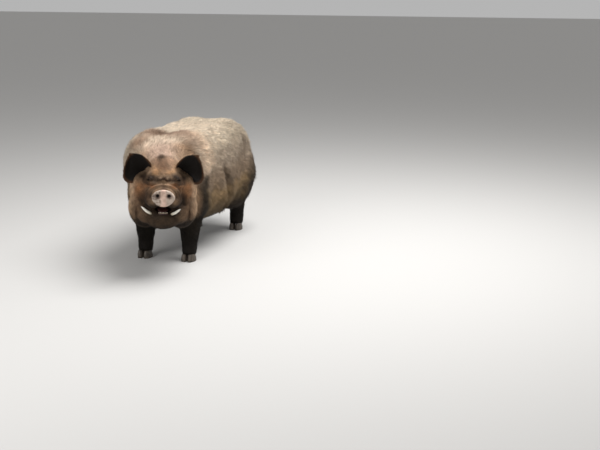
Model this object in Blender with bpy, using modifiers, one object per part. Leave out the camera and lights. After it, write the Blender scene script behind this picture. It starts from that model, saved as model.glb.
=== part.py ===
"""A kunekune pig at life size, standing with its head turned to its left.

The pig stands along Y with its snout towards -Y and its left side towards +X. Its flesh is laid down as
rounded masses of muscle, fat and bone, fused into one surface, and then parted with thin cuts into the
pieces that a person would name. The long coat lies over the flesh as flat tapered locks.
"""

import math

import bmesh
import bpy
import numpy as np
from mathutils import Euler, Matrix, Vector
from mathutils.bvhtree import BVHTree

# Driving sizes of the pig, in metres
BACK_HEIGHT = 0.685
BELLY_HEIGHT = 0.138
HALF_WIDTH = 0.244
BARREL_MIDDLE = 0.11
SHOULDER_Y = -0.20
HIP_Y = 0.37
LEG_X = 0.128
MOVE_TO_ORIGIN = Vector((-0.026, 0.024, 0.0))

# The head: its own frame has the snout towards -Y, and its origin is below the poll, level with the lips
HEAD_AT = Vector((0.090, -0.478, 0.430))
HEAD_TURN = math.radians(24)
HEAD_PITCH = math.radians(10)
HEAD_ROLL = math.radians(3)
SNOUT_Y = -0.238
SNOUT_Z = 0.044
DISC_HALF_WIDTH = 0.061
DISC_HALF_HEIGHT = 0.046
POLL_HEIGHT = 0.185
JOWL_HALF_WIDTH = 0.172
EYE_AT = Vector((0.066, -0.128, 0.105))
EYE_RADIUS = 0.0125
NOSTRIL_AT = Vector((0.0275, -0.238, 0.058))
MOUTH_CORNER = Vector((0.0, -0.114, -0.040))
MOUTH_LENGTH = 0.190
MOUTH_HALF_WIDTH = 0.050
MOUTH_FRONT_HALF = 0.060
MOUTH_GAPE = 0.050
UPPER_LIP_Z = -0.026

# Cuts and gaps
GAP = 0.0003
HEAD_CUT_Y = 0.072
NECK_CUT_Y = -0.315
NECK_CUT_LEAN = math.radians(14)
FRONT_CUT_Z = 0.190
HIND_CUT_Z = 0.200
HOOF_TOP = 0.040

# The ears: a leaf that stands up and out from the side of the skull, in the frame of the head
EAR_BASE = Vector((0.103, -0.052, 0.111))
EAR_UP = Vector((0.55, -0.13, 0.83))
EAR_DOWN = Vector((0.68, 0.12, -0.84))
EAR_LENGTH = 0.115
EAR_ROOT = 0.18
EAR_LOBE = 0.094
EAR_UPPER_HALF = 0.055
EAR_CUP = 0.032
EAR_CURL = 0.016
EAR_THICKNESS = 0.006

TUSK_RADIUS = 0.0062
TEETH = 6

# The coat: each lock's length, width and the height of its tip above the skin
BODY_LOCK = (0.165, 0.092, 0.017)
NECK_LOCK = (0.130, 0.088, 0.017)
HEAD_LOCK = (0.074, 0.054, 0.011)
LOCK_STATIONS = (0.0, 0.34, 0.70, 1.0)
LOCK_WIDTHS = (0.74, 1.0, 0.60)
LOCK_DEPTH = 0.009
LOCK_SINK = 0.008
LOCK_SWAY = 9
COAT_SEED = 11
AXIS_HEIGHT = 0.420
HEAD_LOCK_ROWS = (
    (50, (0, 34)), (72, (0, 62)), (62, (150,)), (14, (96,)),
    (-14, (66, 94)), (-38, (52, 78, 104)), (-62, (36, 78, 112)),
)

# How finely the flesh is fused, and about how many triangles it keeps
TRUNK_VOXEL = 0.014
BODY_VOXEL = 0.011
HEAD_VOXEL = 0.0055
BODY_TRIANGLES = 2100
HEAD_TRIANGLES = 1800

COLOURS = {
    "coat_grey_tan": ((0.42, 0.34, 0.27), 0.85),
    "face_brown": ((0.27, 0.17, 0.10), 0.85),
    "leg_black": ((0.05, 0.04, 0.035), 0.85),
    "ear_black": ((0.045, 0.035, 0.03), 0.8),
    "hoof_horn": ((0.07, 0.06, 0.05), 0.5),
    "ivory": ((0.80, 0.74, 0.60), 0.35),
    "eye_dark": ((0.03, 0.018, 0.012), 0.1),
    "tongue_pink": ((0.55, 0.25, 0.24), 0.45),
}


def remove(obj):
    bpy.data.objects.remove(obj, do_unlink=True)


def material(name):
    found = bpy.data.materials.get(name)
    if found:
        return found
    colour, roughness = COLOURS[name]
    made = bpy.data.materials.new(name)
    made.use_nodes = True
    shader = made.node_tree.nodes["Principled BSDF"]
    shader.inputs["Base Color"].default_value = (*colour, 1.0)
    shader.inputs["Roughness"].default_value = roughness
    shader.inputs["Metallic"].default_value = 0.0
    return made


def paint(obj, name):
    obj.data.materials.clear()
    obj.data.materials.append(material(name))
    return obj


def pig():
    return bpy.data.collections["kunekune_pig"]


def object_of(mesh, name):
    obj = bpy.data.objects.new(name, mesh)
    pig().objects.link(obj)
    return obj


def frozen(obj):
    """The object with its modifiers and its place worked into a plain mesh."""
    bpy.context.view_layer.update()
    graph = bpy.context.evaluated_depsgraph_get()
    mesh = bpy.data.meshes.new_from_object(obj.evaluated_get(graph))
    mesh.transform(obj.matrix_world)
    if obj.type == "CURVE":
        shape = bmesh.new()
        shape.from_mesh(mesh)
        bmesh.ops.remove_doubles(shape, verts=shape.verts, dist=1e-5)
        bmesh.ops.recalc_face_normals(shape, faces=shape.faces)
        shape.to_mesh(mesh)
        shape.free()
    name = obj.name
    remove(obj)
    return object_of(mesh, name)


def turned(centre, radii, turn=(0, 0, 0), place=Matrix.Identity(4)):
    """A matrix that makes a unit ball into an ellipsoid."""
    turn = Euler([math.radians(a) for a in turn]).to_matrix().to_4x4()
    return place @ Matrix.Translation(centre) @ turn @ Matrix.Diagonal((*radii, 1.0))


def ball(centre, radii, turn=(0, 0, 0), place=Matrix.Identity(4), segments=24, name="mass"):
    bpy.ops.mesh.primitive_uv_sphere_add(segments=segments, ring_count=segments * 2 // 3, radius=1.0)
    obj = bpy.context.object
    obj.name = name
    obj.data.transform(turned(centre, radii, turn, place))
    return obj


def pair(centre, radii, turn=(0, 0, 0), place=Matrix.Identity(4)):
    """The same mass on the left side and the right."""
    x, y, z = centre
    pitch, roll, yaw = turn
    left = ball((x, y, z), radii, (pitch, roll, yaw), place)
    right = ball((-x, y, z), radii, (pitch, -roll, -yaw), place)
    return [left, right]


def tube(points, radii, name="tube", resolution=3):
    """A limb, tail or tusk: a round tube that thins along smooth points, with filled caps."""
    curve = bpy.data.curves.new(name, "CURVE")
    curve.dimensions = "3D"
    curve.bevel_depth = 1.0
    curve.bevel_resolution = resolution
    curve.use_fill_caps = True
    spline = curve.splines.new("POLY")
    spline.points.add(len(points) - 1)
    for point, place, radius in zip(spline.points, points, radii):
        point.co = (*place, 1.0)
        point.radius = radius
    return frozen(object_of(curve, name))


def smooth_path(points, steps):
    """Points read from a smooth curve through the given ones."""
    points = [Vector(p) for p in points]
    ends = [2 * points[0] - points[1], *points, 2 * points[-1] - points[-2]]
    path = []
    for before, start, end, after in zip(ends, ends[1:], ends[2:], ends[3:]):
        for step in range(steps):
            t = step / steps
            path.append(0.5 * (2 * start + (end - before) * t
                               + (2 * before - 5 * start + 4 * end - after) * t * t
                               + (3 * start - before - 3 * end + after) * t ** 3))
    return [*path, points[-1]]


def joined(pieces, name):
    """The pieces as one mesh, still crossing one another."""
    shape = bmesh.new()
    for piece in pieces:
        shape.from_mesh(piece.data)
        remove(piece)
    mesh = bpy.data.meshes.new(name)
    shape.to_mesh(mesh)
    shape.free()
    return object_of(mesh, name)


def fused(pieces, name, voxel, rounds):
    """One smooth closed surface round all the pieces."""
    obj = joined(pieces, name)
    remesh = obj.modifiers.new("Fuse", "REMESH")
    remesh.mode = "VOXEL"
    remesh.voxel_size = voxel
    soften = obj.modifiers.new("Soften", "SMOOTH")
    soften.factor = 0.5
    soften.iterations = rounds
    return frozen(obj)


def thinned(obj, triangles):
    """The object with about this many triangles, closest together where it is most curved."""
    obj.data.calc_loop_triangles()
    thin = obj.modifiers.new("Thin", "DECIMATE")
    thin.ratio = min(1.0, triangles / len(obj.data.loop_triangles))
    thin.use_collapse_triangulate = True
    return frozen(obj)


def cut(obj, cutter, operation="DIFFERENCE"):
    """The object less the cutter, or only what lies inside it; the cutter is used up."""
    step = obj.modifiers.new("Step", "BOOLEAN")
    step.operation = operation
    step.solver = "MANIFOLD"
    step.object = cutter
    result = frozen(obj)
    remove(cutter)
    return result


def united(core, pieces):
    """The core and all the pieces that grow from it, as one closed body."""
    growth = bpy.data.collections.new("growth")
    for piece in pieces:
        growth.objects.link(piece)
        pig().objects.unlink(piece)
    bpy.context.scene.collection.children.link(growth)
    step = core.modifiers.new("Union", "BOOLEAN")
    step.operation = "UNION"
    step.solver = "MANIFOLD"
    step.operand_type = "COLLECTION"
    step.collection = growth
    result = frozen(core)
    for piece in pieces:
        remove(piece)
    bpy.data.collections.remove(growth)
    return largest_body(result)


def largest_body(obj):
    """Keeps the largest closed surface of a mesh, and drops loose scraps and sealed hollows."""
    shape = bmesh.new()
    shape.from_mesh(obj.data)
    left = set(shape.faces)
    bodies = []
    while left:
        queue = [left.pop()]
        body = list(queue)
        while queue:
            face = queue.pop()
            for edge in face.edges:
                for near in edge.link_faces:
                    if near in left:
                        left.remove(near)
                        queue.append(near)
                        body.append(near)
        bodies.append(body)
    bodies.sort(key=lambda body: sum(face.calc_area() for face in body))
    scraps = [face for body in bodies[:-1] for face in body]
    bmesh.ops.delete(shape, geom=scraps, context="FACES")
    shape.to_mesh(obj.data)
    shape.free()
    return obj


def sliced(obj, point, normal):
    """The object with all that lies past a plane cut away, and the cut closed flat."""
    shape = bmesh.new()
    shape.from_mesh(obj.data)
    bmesh.ops.bisect_plane(shape, geom=[*shape.verts, *shape.edges, *shape.faces], plane_co=point,
                           plane_no=normal, clear_outer=True)
    rim = [edge for edge in shape.edges if edge.is_boundary]
    bmesh.ops.triangle_fill(shape, edges=rim, use_beauty=True, normal=normal)
    bmesh.ops.triangulate(shape, faces=[face for face in shape.faces if len(face.verts) > 3])
    bmesh.ops.recalc_face_normals(shape, faces=shape.faces)
    shape.to_mesh(obj.data)
    shape.free()
    return obj


def beyond(point, normal, size=3.0):
    """A block that fills all the space past a plane, for cutting."""
    bpy.ops.mesh.primitive_cube_add(size=size)
    block = bpy.context.object
    tilt = Vector(normal).to_track_quat("Z", "Y").to_matrix().to_4x4()
    block.data.transform(Matrix.Translation(point) @ tilt @ Matrix.Translation((0, 0, size / 2)))
    return block


def copy_of(obj, name):
    return object_of(obj.data.copy(), name)


def grown(obj, by):
    """A copy that stands out from the object by a small distance all over."""
    copy = copy_of(obj, "grown")
    swell = copy.modifiers.new("Swell", "DISPLACE")
    swell.mid_level = 0.0
    swell.strength = by
    return frozen(copy)


def seated(host, piece):
    """The host with a snug socket where the piece is sunk into it."""
    return cut(host, grown(piece, GAP))


def head_place():
    nod = Matrix.Rotation(HEAD_PITCH, 4, "X") @ Matrix.Rotation(HEAD_ROLL, 4, "Y")
    return Matrix.Translation(HEAD_AT) @ Matrix.Rotation(HEAD_TURN, 4, "Z") @ nod


def torso_masses():
    """A long barrel, broad and nearly flat along the back, with the belly slung below it."""
    saddle = BACK_HEIGHT - 0.162
    return [
        ball((0, BARREL_MIDDLE, 0.430), (HALF_WIDTH, 0.46, 0.236)),
        ball((0, BARREL_MIDDLE, BELLY_HEIGHT + 0.200), (HALF_WIDTH, 0.38, 0.200)),
        ball((0, BARREL_MIDDLE, BACK_HEIGHT - 0.150), (0.150, 0.42, 0.150)),
        *[side for y in (-0.08, 0.11, 0.30) for side in pair((0.084, y, saddle), (0.138, 0.22, 0.160))],
        *pair((0.092, SHOULDER_Y, saddle + 0.002), (0.136, 0.20, 0.163)),
        *pair((0.080, SHOULDER_Y, 0.370), (0.140, 0.19, 0.208)),
        *pair((0.086, HIP_Y, saddle - 0.018), (0.138, 0.20, 0.164)),
        *pair((0.105, HIP_Y + 0.02, 0.355), (0.151, 0.19, 0.220)),
        ball((0, HIP_Y + 0.09, 0.480), (0.160, 0.160, 0.172)),
        ball((0, SHOULDER_Y - 0.01, 0.325), (0.150, 0.140, 0.138)),
    ]


def neck_masses():
    """A neck as thick as the head, that bends to the left."""
    return [
        ball((0.086, -0.290, 0.515), (0.130, 0.150, 0.160)),
        ball((-0.076, -0.290, 0.512), (0.122, 0.150, 0.157)),
        ball((0.106, -0.350, 0.508), (0.114, 0.130, 0.148)),
        ball((-0.050, -0.350, 0.508), (0.114, 0.130, 0.148)),
        ball((0.012, -0.310, 0.505), (0.120, 0.180, 0.158)),
        ball((0.060, -0.400, 0.460), (0.160, 0.160, 0.165)),
        ball((0.048, -0.375, 0.370), (0.155, 0.150, 0.150)),
    ]


def skull_masses():
    place = head_place()
    crown = POLL_HEIGHT - 0.094
    return [
        ball((0, -0.006, crown), (0.094, 0.106, 0.094), place=place),
        ball((0, -0.076, crown + 0.002), (0.080, 0.070, 0.062), place=place),
        ball((0, 0.104, 0.045), (0.145, 0.136, 0.146), place=place),
        *pair((0.084, -0.034, 0.004), (0.084, 0.098, 0.104), place=place),
        *pair((JOWL_HALF_WIDTH - 0.084, -0.030, -0.080), (0.084, 0.104, 0.106), place=place),
        *pair((0.058, -0.098, 0.078), (0.046, 0.050, 0.046), place=place),
        ball((0, -0.020, -0.092), (0.110, 0.115, 0.088), place=place),
    ]


def leg_tube(side, hind):
    if hind:
        points = [(0.104, 0.370, 0.360), (0.126, 0.405, 0.250), (0.130, 0.458, 0.185), (0.130, 0.462, 0.115),
                  (0.130, 0.456, 0.062), (0.130, 0.448, 0.030)]
        radii = [0.090, 0.084, 0.056, 0.042, 0.043, 0.040]
    else:
        points = [(0.104, -0.215, 0.360), (0.122, -0.236, 0.230), (LEG_X, -0.246, 0.160), (LEG_X, -0.250, 0.105),
                  (LEG_X, -0.256, 0.060), (LEG_X, -0.262, 0.030)]
        radii = [0.072, 0.070, 0.053, 0.043, 0.043, 0.040]
    points = [(side * x, y, z) for x, y, z in points]
    return tube(points, radii, "leg", resolution=4)


def muzzle_masses():
    place = head_place()
    disc = ball((0, SNOUT_Y + 0.013, SNOUT_Z), (DISC_HALF_WIDTH, 0.013, DISC_HALF_HEIGHT), (-6, 0, 0), place)
    return [
        ball((0, -0.128, SNOUT_Z - 0.004), (0.088, 0.080, 0.062), (6, 0, 0), place),
        ball((0, -0.176, SNOUT_Z - 0.002), (0.062, 0.045, 0.046), place=place),
        *pair((0.044, -0.146, 0.004), (0.048, 0.060, 0.036), place=place),
        ball((0, -0.105, -0.096), (0.096, 0.098, 0.057), (8, 0, 0), place),
        *pair((0.070, -0.088, -0.078), (0.066, 0.088, 0.062), place=place),
        ball((0, -0.158, -0.090), (0.062, 0.050, 0.041), (10, 0, 0), place),
        disc,
    ]


def mouth_cutter():
    """A wedge that opens from the corners of the mouth to its front."""
    bpy.ops.mesh.primitive_cube_add(size=2)
    obj = bpy.context.object
    front = MOUTH_CORNER.y - MOUTH_LENGTH
    for vertex in obj.data.vertices:
        side, end, up = vertex.co
        if end > 0:
            vertex.co = (side * MOUTH_HALF_WIDTH, MOUTH_CORNER.y, MOUTH_CORNER.z + up * 0.001)
        else:
            vertex.co = (side * MOUTH_FRONT_HALF, front, UPPER_LIP_Z if up > 0 else MOUTH_CORNER.z - MOUTH_GAPE)
    obj.data.transform(head_place())
    return obj


def nostril_cutter(side):
    x, y, z = NOSTRIL_AT
    return ball((side * x, y, z), (0.0080, 0.014, 0.0075), (0, side * 28, 0), head_place(), segments=12)


def eye_frame(side):
    """The eye looks forwards and well out to its side."""
    outward = Matrix.Rotation(side * math.radians(38), 4, "Z")
    x, y, z = EYE_AT
    return head_place() @ Matrix.Translation((side * x, y, z)) @ outward


def lid_mound(side):
    """The skin that closes over the eyeball all round."""
    return ball((0, 0, 0), [EYE_RADIUS * r for r in (1.55, 1.22, 1.30)], place=eye_frame(side), segments=14)


def eye_slit(side):
    """The almond opening between the lids."""
    return ball((0, -EYE_RADIUS * 1.15, 0), [EYE_RADIUS * r for r in (0.98, 0.70, 0.50)], (0, side * 8, 0),
                eye_frame(side), segments=14)


def eye(side):
    return ball((0, 0, 0), (EYE_RADIUS,) * 3, place=eye_frame(side), segments=10,
                name="eye_left" if side > 0 else "eye_right")


def ear(side, name):
    """A broad pointed leaf with a rounded lower lobe, cupped, with the mouth of the cup to the front."""
    bpy.ops.mesh.primitive_grid_add(x_subdivisions=7, y_subdivisions=6, size=2)
    obj = bpy.context.object
    obj.name = name
    for vertex in obj.data.vertices:
        across, t = vertex.co.x, vertex.co.y * (0.5 + EAR_ROOT / 2) + 0.5 - EAR_ROOT / 2
        clear = max(0.0, t)
        if across > 0:
            width = EAR_LOBE * max(0.0, math.sin(math.pi * (0.20 + 0.80 * clear))) ** 0.8 + 0.0015
        else:
            width = EAR_UPPER_HALF * (1 - clear ** 2.8) + 0.0015
        width *= 1 + 1.2 * min(0.0, t)
        cup = EAR_CUP * (1 - across ** 2) * (1.2 - 0.9 * clear)
        cup -= EAR_CURL * max(0.0, across) ** 2 * (1 - clear) ** 1.5
        vertex.co = EAR_BASE + EAR_DOWN * across * width + EAR_UP * EAR_LENGTH * t + Vector((0, cup, 0))
    wall = obj.modifiers.new("Wall", "SOLIDIFY")
    wall.thickness = EAR_THICKNESS
    wall.offset = 0.0
    mirror = Matrix.Diagonal((side, 1, 1, 1))
    obj.data.transform(head_place() @ mirror)
    return turned_out(frozen(obj))


def turned_out(obj):
    shape = bmesh.new()
    shape.from_mesh(obj.data)
    bmesh.ops.recalc_face_normals(shape, faces=shape.faces)
    bmesh.ops.triangulate(shape, faces=shape.faces)
    shape.to_mesh(obj.data)
    shape.free()
    return obj


def tusk(side, name):
    """A lower canine that leaves the lip and points out and up; the one on the right side is longer."""
    place = head_place()
    long = side < 0
    points = [(0.050, -0.140, -0.086), (0.060, -0.164, -0.064), (0.082, -0.172, -0.046), (0.108, -0.162, -0.026)]
    if not long:
        points = [(0.036, -0.146, -0.084), (0.044, -0.168, -0.064), (0.064, -0.175, -0.050), (0.086, -0.169, -0.034)]
    path = [place @ Vector((side * p.x, p.y, p.z)) for p in smooth_path(points, 3)]
    share = np.linspace(0, 1, len(path))
    return tube(path, list(TUSK_RADIUS * (1 - share ** 4) + 0.0010), name, resolution=1)


def lower_teeth():
    """The row of low front teeth, fused at their gum."""
    place = head_place()
    gum = ball((0, -0.182, -0.065), (0.031, 0.010, 0.006), place=place, segments=9, name="teeth_lower")
    teeth = []
    for count in range(TEETH):
        x = (count - (TEETH - 1) / 2) * 0.0088
        teeth.append(ball((x, -0.186 + abs(x) * 0.20, -0.058), (0.0036, 0.0030, 0.0080), (24, 0, 0), place,
                          segments=6))
    return united(gum, teeth)


def tongue():
    return ball((0, -0.144, -0.0475), (0.027, 0.026, 0.0055), (14, 0, 0), head_place(), segments=10, name="tongue")


def wattle(side, name):
    """One of the two tassels of skin that hang from the jaw."""
    place = head_place()
    points = [(0.124, -0.080, -0.056), (0.136, -0.112, -0.062), (0.141, -0.123, -0.084), (0.141, -0.122, -0.108)]
    path = smooth_path([place @ Vector((side * x, y, z)) for x, y, z in points], 2)
    return tube(path, [0.0075, 0.0065, 0.0060, 0.0062, 0.0070, 0.0066, 0.0032], name, resolution=1)


def claw(centre, side, name, reach=1.0):
    """One half of a cloven hoof: rounded, longer to the front, and flat below."""
    x, y = centre
    obj = ball((x + side * 0.0195, y - 0.006, 0.006), (0.0190, 0.036 * reach, 0.046), (12, 0, -side * 5),
               segments=10, name=name)
    sliced(obj, Vector((0, 0, HOOF_TOP - GAP)), Vector((0, 0, 1)))
    return sliced(obj, Vector((0, 0, 0)), Vector((0, 0, -1)))


def dewclaw(centre, side, name):
    """A small hoof that stays clear of the ground behind the foot."""
    x, y = centre
    return ball((x + side * 0.020, y + 0.039, 0.062), (0.010, 0.013, 0.019), (-28, side * 10, 0), segments=8,
                name=name)


def tail_path():
    return smooth_path([(0, 0.570, 0.535), (0.002, 0.625, 0.525), (0.010, 0.648, 0.485), (0.012, 0.650, 0.430),
                        (0.006, 0.646, 0.375), (0.000, 0.642, 0.315)], 3)


def tail():
    path = tail_path()
    share = np.linspace(0, 1, len(path))
    radii = 0.021 - 0.011 * np.minimum(1, share * 2.2) + 0.010 * np.exp(-((share - 0.80) / 0.13) ** 2)
    radii[-1] = 0.004
    return tube(path, list(radii), "tail", resolution=3)


def surface_of(obj):
    corners = [vertex.co for vertex in obj.data.vertices]
    return BVHTree.FromPolygons(corners, [face.vertices for face in obj.data.polygons])


def lock(surface, root, lie, length, width, stand):
    """A flat tapered lock: it leaves the skin at its sunk root, bends along the body and lifts to its tip."""
    shape = bmesh.new()
    rings = []
    place, normal = surface.find_nearest(root)[:2]
    heading = lie
    for count, share in enumerate(LOCK_STATIONS):
        if count:
            step = length * (share - LOCK_STATIONS[count - 1])
            place, normal = surface.find_nearest(place + heading * step)[:2]
        heading = (heading - normal * heading.dot(normal)).normalized()
        crest = stand * share ** 0.8 - LOCK_SINK * (1 - share) ** 2
        if share == 1:
            tip = shape.verts.new(place + normal * crest)
            break
        depth = LOCK_DEPTH * (1 - 0.4 * share)
        half = width / 2 * LOCK_WIDTHS[count]
        across = heading.cross(normal)
        ring = [shape.verts.new(place + normal * crest)]
        edges = []
        for side in (1, -1):
            low, outward = surface.find_nearest(place + across * side * half)[:2]
            edges.append(shape.verts.new(low + outward * (crest - depth * 0.5)))
        ring = [ring[0], edges[0], shape.verts.new(place + normal * (crest - depth)), edges[1]]
        rings.append(ring)
    shape.faces.new(rings[0])
    for first, second in zip(rings, rings[1:]):
        for a, b in ((0, 1), (1, 2), (2, 3), (3, 0)):
            shape.faces.new((first[a], first[b], second[b], second[a]))
    for a, b in ((0, 1), (1, 2), (2, 3), (3, 0)):
        shape.faces.new((rings[-1][a], rings[-1][b], tip))
    bmesh.ops.triangulate(shape, faces=shape.faces)
    bmesh.ops.recalc_face_normals(shape, faces=shape.faces)
    mesh = bpy.data.meshes.new("lock")
    shape.to_mesh(mesh)
    shape.free()
    return object_of(mesh, "lock")


def varied_lock(surface, origin, direction, lie, size, chance):
    """A lock rooted where a line from inside the body leaves it, a little unlike its neighbours."""
    root, normal = surface.ray_cast(origin, direction)[:2]
    sway = Matrix.Rotation(math.radians(chance.uniform(-LOCK_SWAY, LOCK_SWAY)), 3, normal)
    length, width, stand = (value * chance.uniform(0.88, 1.12) for value in size)
    return lock(surface, root, sway @ Vector(lie).normalized(), length, width, stand)


def torso_locks(surface, chance):
    """Rows of locks from the shoulders to the rump, lying back and, on the flanks, down."""
    locks = []
    rows = [(y, 0) for y in np.linspace(-0.270, 0.400, 8)]
    rows += [(0.42, tilt) for tilt in (24, 47, 70)]
    for count, (y, tilt) in enumerate(rows):
        reach = 114 - 0.4 * tilt
        number = 9 if tilt < 40 else 7
        for angle in np.linspace(-reach, reach, number) + (7 if count % 2 else -7):
            angle = math.radians(angle + chance.uniform(-3, 3))
            back = math.radians(tilt)
            direction = Vector((math.sin(angle) * math.cos(back), math.sin(back), math.cos(angle) * math.cos(back)))
            fall = 0.25 + 0.65 * abs(math.sin(angle)) + 0.9 * math.sin(back)
            lie = (math.sin(angle) * 0.25, math.cos(back) ** 2, -fall)
            origin = Vector((0, y, AXIS_HEIGHT))
            locks.append(varied_lock(surface, origin, direction, lie, BODY_LOCK, chance))
    return locks


def neck_locks(surface, chance):
    locks = []
    for x, y, reach, turn in ((0.070, -0.440, 84, 5), (0.040, -0.372, 100, -6)):
        for angle in np.linspace(-reach, reach, 8) + turn:
            angle = math.radians(angle + chance.uniform(-3, 3))
            direction = Vector((math.sin(angle), 0.10, math.cos(angle)))
            lie = (math.sin(angle) * 0.3, 1.0, -0.2 - 0.6 * abs(math.sin(angle)))
            locks.append(varied_lock(surface, Vector((x, y, 0.43)), direction, lie, NECK_LOCK, chance))
    return locks


def head_locks(surface, chance):
    """Shorter locks on the forehead, nape, cheeks, jowls and jaw; none near the eyes, snout or mouth."""
    place = head_place()
    axes = place.to_3x3()
    locks = []
    for rise, bearings in HEAD_LOCK_ROWS:
        for bearing in bearings:
            for side in (1, -1) if bearing % 180 else (1,):
                round_, up = math.radians(bearing), math.radians(rise)
                direction = Vector((side * math.sin(round_) * math.cos(up), -math.cos(round_) * math.cos(up),
                                    math.sin(up)))
                lie = Vector((side * 0.25, 1.0, 0.25 if rise > 40 else -0.75))
                locks.append(varied_lock(surface, place @ Vector((0, 0, 0.02)), axes @ direction, axes @ lie,
                                         HEAD_LOCK, chance))
    return locks


def tail_locks(path, chance):
    """The switch of long hair at the end of the tail."""
    locks = []
    for count in range(6):
        angle = count * math.tau / 6 + chance.uniform(-0.3, 0.3)
        out = Vector((math.cos(angle), math.sin(angle), 0))
        root = path[-4] + out * 0.002
        points = [root, root + out * 0.012 + Vector((0, 0, -0.035)), root + out * 0.016 + Vector((0, 0, -0.075))]
        locks.append(tube(points, [0.008, 0.0075, 0.0006], "lock", resolution=0))
    return locks


def leg_box(centre, half_width, half_length, top, gap=0.0):
    """The block of space that holds one leg below the trunk."""
    size = (2 * (half_width + gap), 2 * (half_length + gap), top + gap + 0.1)
    bpy.ops.mesh.primitive_cube_add(size=1, scale=size, location=(*centre, (top + gap - 0.1) / 2))
    return frozen(bpy.context.object)


# For each pair of legs: the middle of the block round the left one, its half sizes, the height of the cut,
# and where the foot stands
LEGS = {
    "front": ((0.140, -0.240), (0.115, 0.105), FRONT_CUT_Z, (LEG_X, -0.266)),
    "hind": ((0.145, 0.456), (0.120, 0.110), HIND_CUT_Z, (0.130, 0.446)),
}


def build():
    for obj in list(bpy.data.objects):
        bpy.data.objects.remove(obj, do_unlink=True)
    bpy.context.scene.collection.children.link(bpy.data.collections.new("kunekune_pig"))
    layer = bpy.context.view_layer.layer_collection.children["kunekune_pig"]
    bpy.context.view_layer.active_layer_collection = layer

    sides = {"left": 1, "right": -1}
    chance = np.random.default_rng(COAT_SEED)
    limbs = [leg_tube(side, hind) for side in (1, -1) for hind in (False, True)]
    trunk = fused([*torso_masses(), *neck_masses()], "trunk", TRUNK_VOXEL, 40)
    body = thinned(fused([trunk, *skull_masses(), *limbs], "body", BODY_VOXEL, 10), BODY_TRIANGLES)
    lids = [lid_mound(side) for side in sides.values()]
    head = fused([*skull_masses(), *muzzle_masses(), *lids], "head", HEAD_VOXEL, 3)
    head = cut(thinned(head, HEAD_TRIANGLES), mouth_cutter())

    lean = Vector((0, -math.cos(NECK_CUT_LEAN), math.sin(NECK_CUT_LEAN)))
    neck_point = Vector((0, NECK_CUT_Y, 0.42))
    place = head_place()
    forward = (place.to_3x3() @ Vector((0, -1, 0))).normalized()
    head_point = place @ Vector((0, HEAD_CUT_Y, 0))

    skin = surface_of(body)
    neck = sliced(copy_of(body, "neck"), head_point - forward * GAP, forward)
    neck = largest_body(sliced(neck, neck_point, -lean))
    neck = united(neck, neck_locks(skin, chance))
    neck = cut(neck, beyond(neck_point, -lean))
    neck = largest_body(cut(neck, beyond(head_point - forward * GAP, forward)))
    legs = {}
    for where, (centre, half_sizes, top, stand) in LEGS.items():
        for side_name, side in sides.items():
            leg = copy_of(body, f"leg_{where}_{side_name}")
            leg = cut(leg, leg_box((side * centre[0], centre[1]), *half_sizes, top), "INTERSECT")
            legs[where, side_name] = sliced(leg, Vector((0, 0, HOOF_TOP)), Vector((0, 0, -1)))
    torso = sliced(body, neck_point - lean * GAP, lean)
    torso = united(torso, torso_locks(skin, chance))
    torso = cut(torso, beyond(neck_point - lean * GAP, lean))

    for where, (centre, half_sizes, top, stand) in LEGS.items():
        for side_name, side in sides.items():
            torso = cut(torso, leg_box((side * centre[0], centre[1]), *half_sizes, top, GAP))
            foot = (side * stand[0], stand[1])
            for inner, turn in (("inner", -side), ("outer", side)):
                claw(foot, turn, f"hoof_{where}_{side_name}_{inner}")
                dew = dewclaw(foot, turn, f"dewclaw_{where}_{side_name}_{inner}")
                legs[where, side_name] = seated(legs[where, side_name], dew)
    torso = largest_body(torso)
    torso.name = "torso"

    head = united(head, head_locks(surface_of(head), chance))
    head = cut(head, beyond(head_point, -forward))
    for side in sides.values():
        head = cut(head, nostril_cutter(side))
        head = cut(head, eye_slit(side))
    for name, side in sides.items():
        head = seated(head, eye(side))
        head = seated(head, ear(side, f"ear_{name}"))
        head = seated(head, tusk(side, f"tusk_{name}"))
        head = seated(head, wattle(side, f"wattle_{name}"))
    head = seated(head, lower_teeth())
    head = seated(head, tongue())
    head = largest_body(head)
    torso = largest_body(seated(torso, united(tail(), tail_locks(tail_path(), chance))))

    finishes = {
        "torso": "coat_grey_tan", "neck": "coat_grey_tan", "tail": "coat_grey_tan", "head": "face_brown",
        "ear": "ear_black", "leg": "leg_black", "hoof": "hoof_horn", "dewclaw": "hoof_horn", "tusk": "ivory",
        "teeth": "ivory", "eye": "eye_dark", "tongue": "tongue_pink", "wattle": "face_brown",
    }
    for obj in pig().objects:
        obj.data.transform(Matrix.Translation(MOVE_TO_ORIGIN))
        paint(obj, finishes[obj.name.split("_")[0]])
        obj.data.shade_smooth()


build()
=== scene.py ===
import math

import bpy
import numpy as np
from mathutils import Euler, Matrix, Vector


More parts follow.
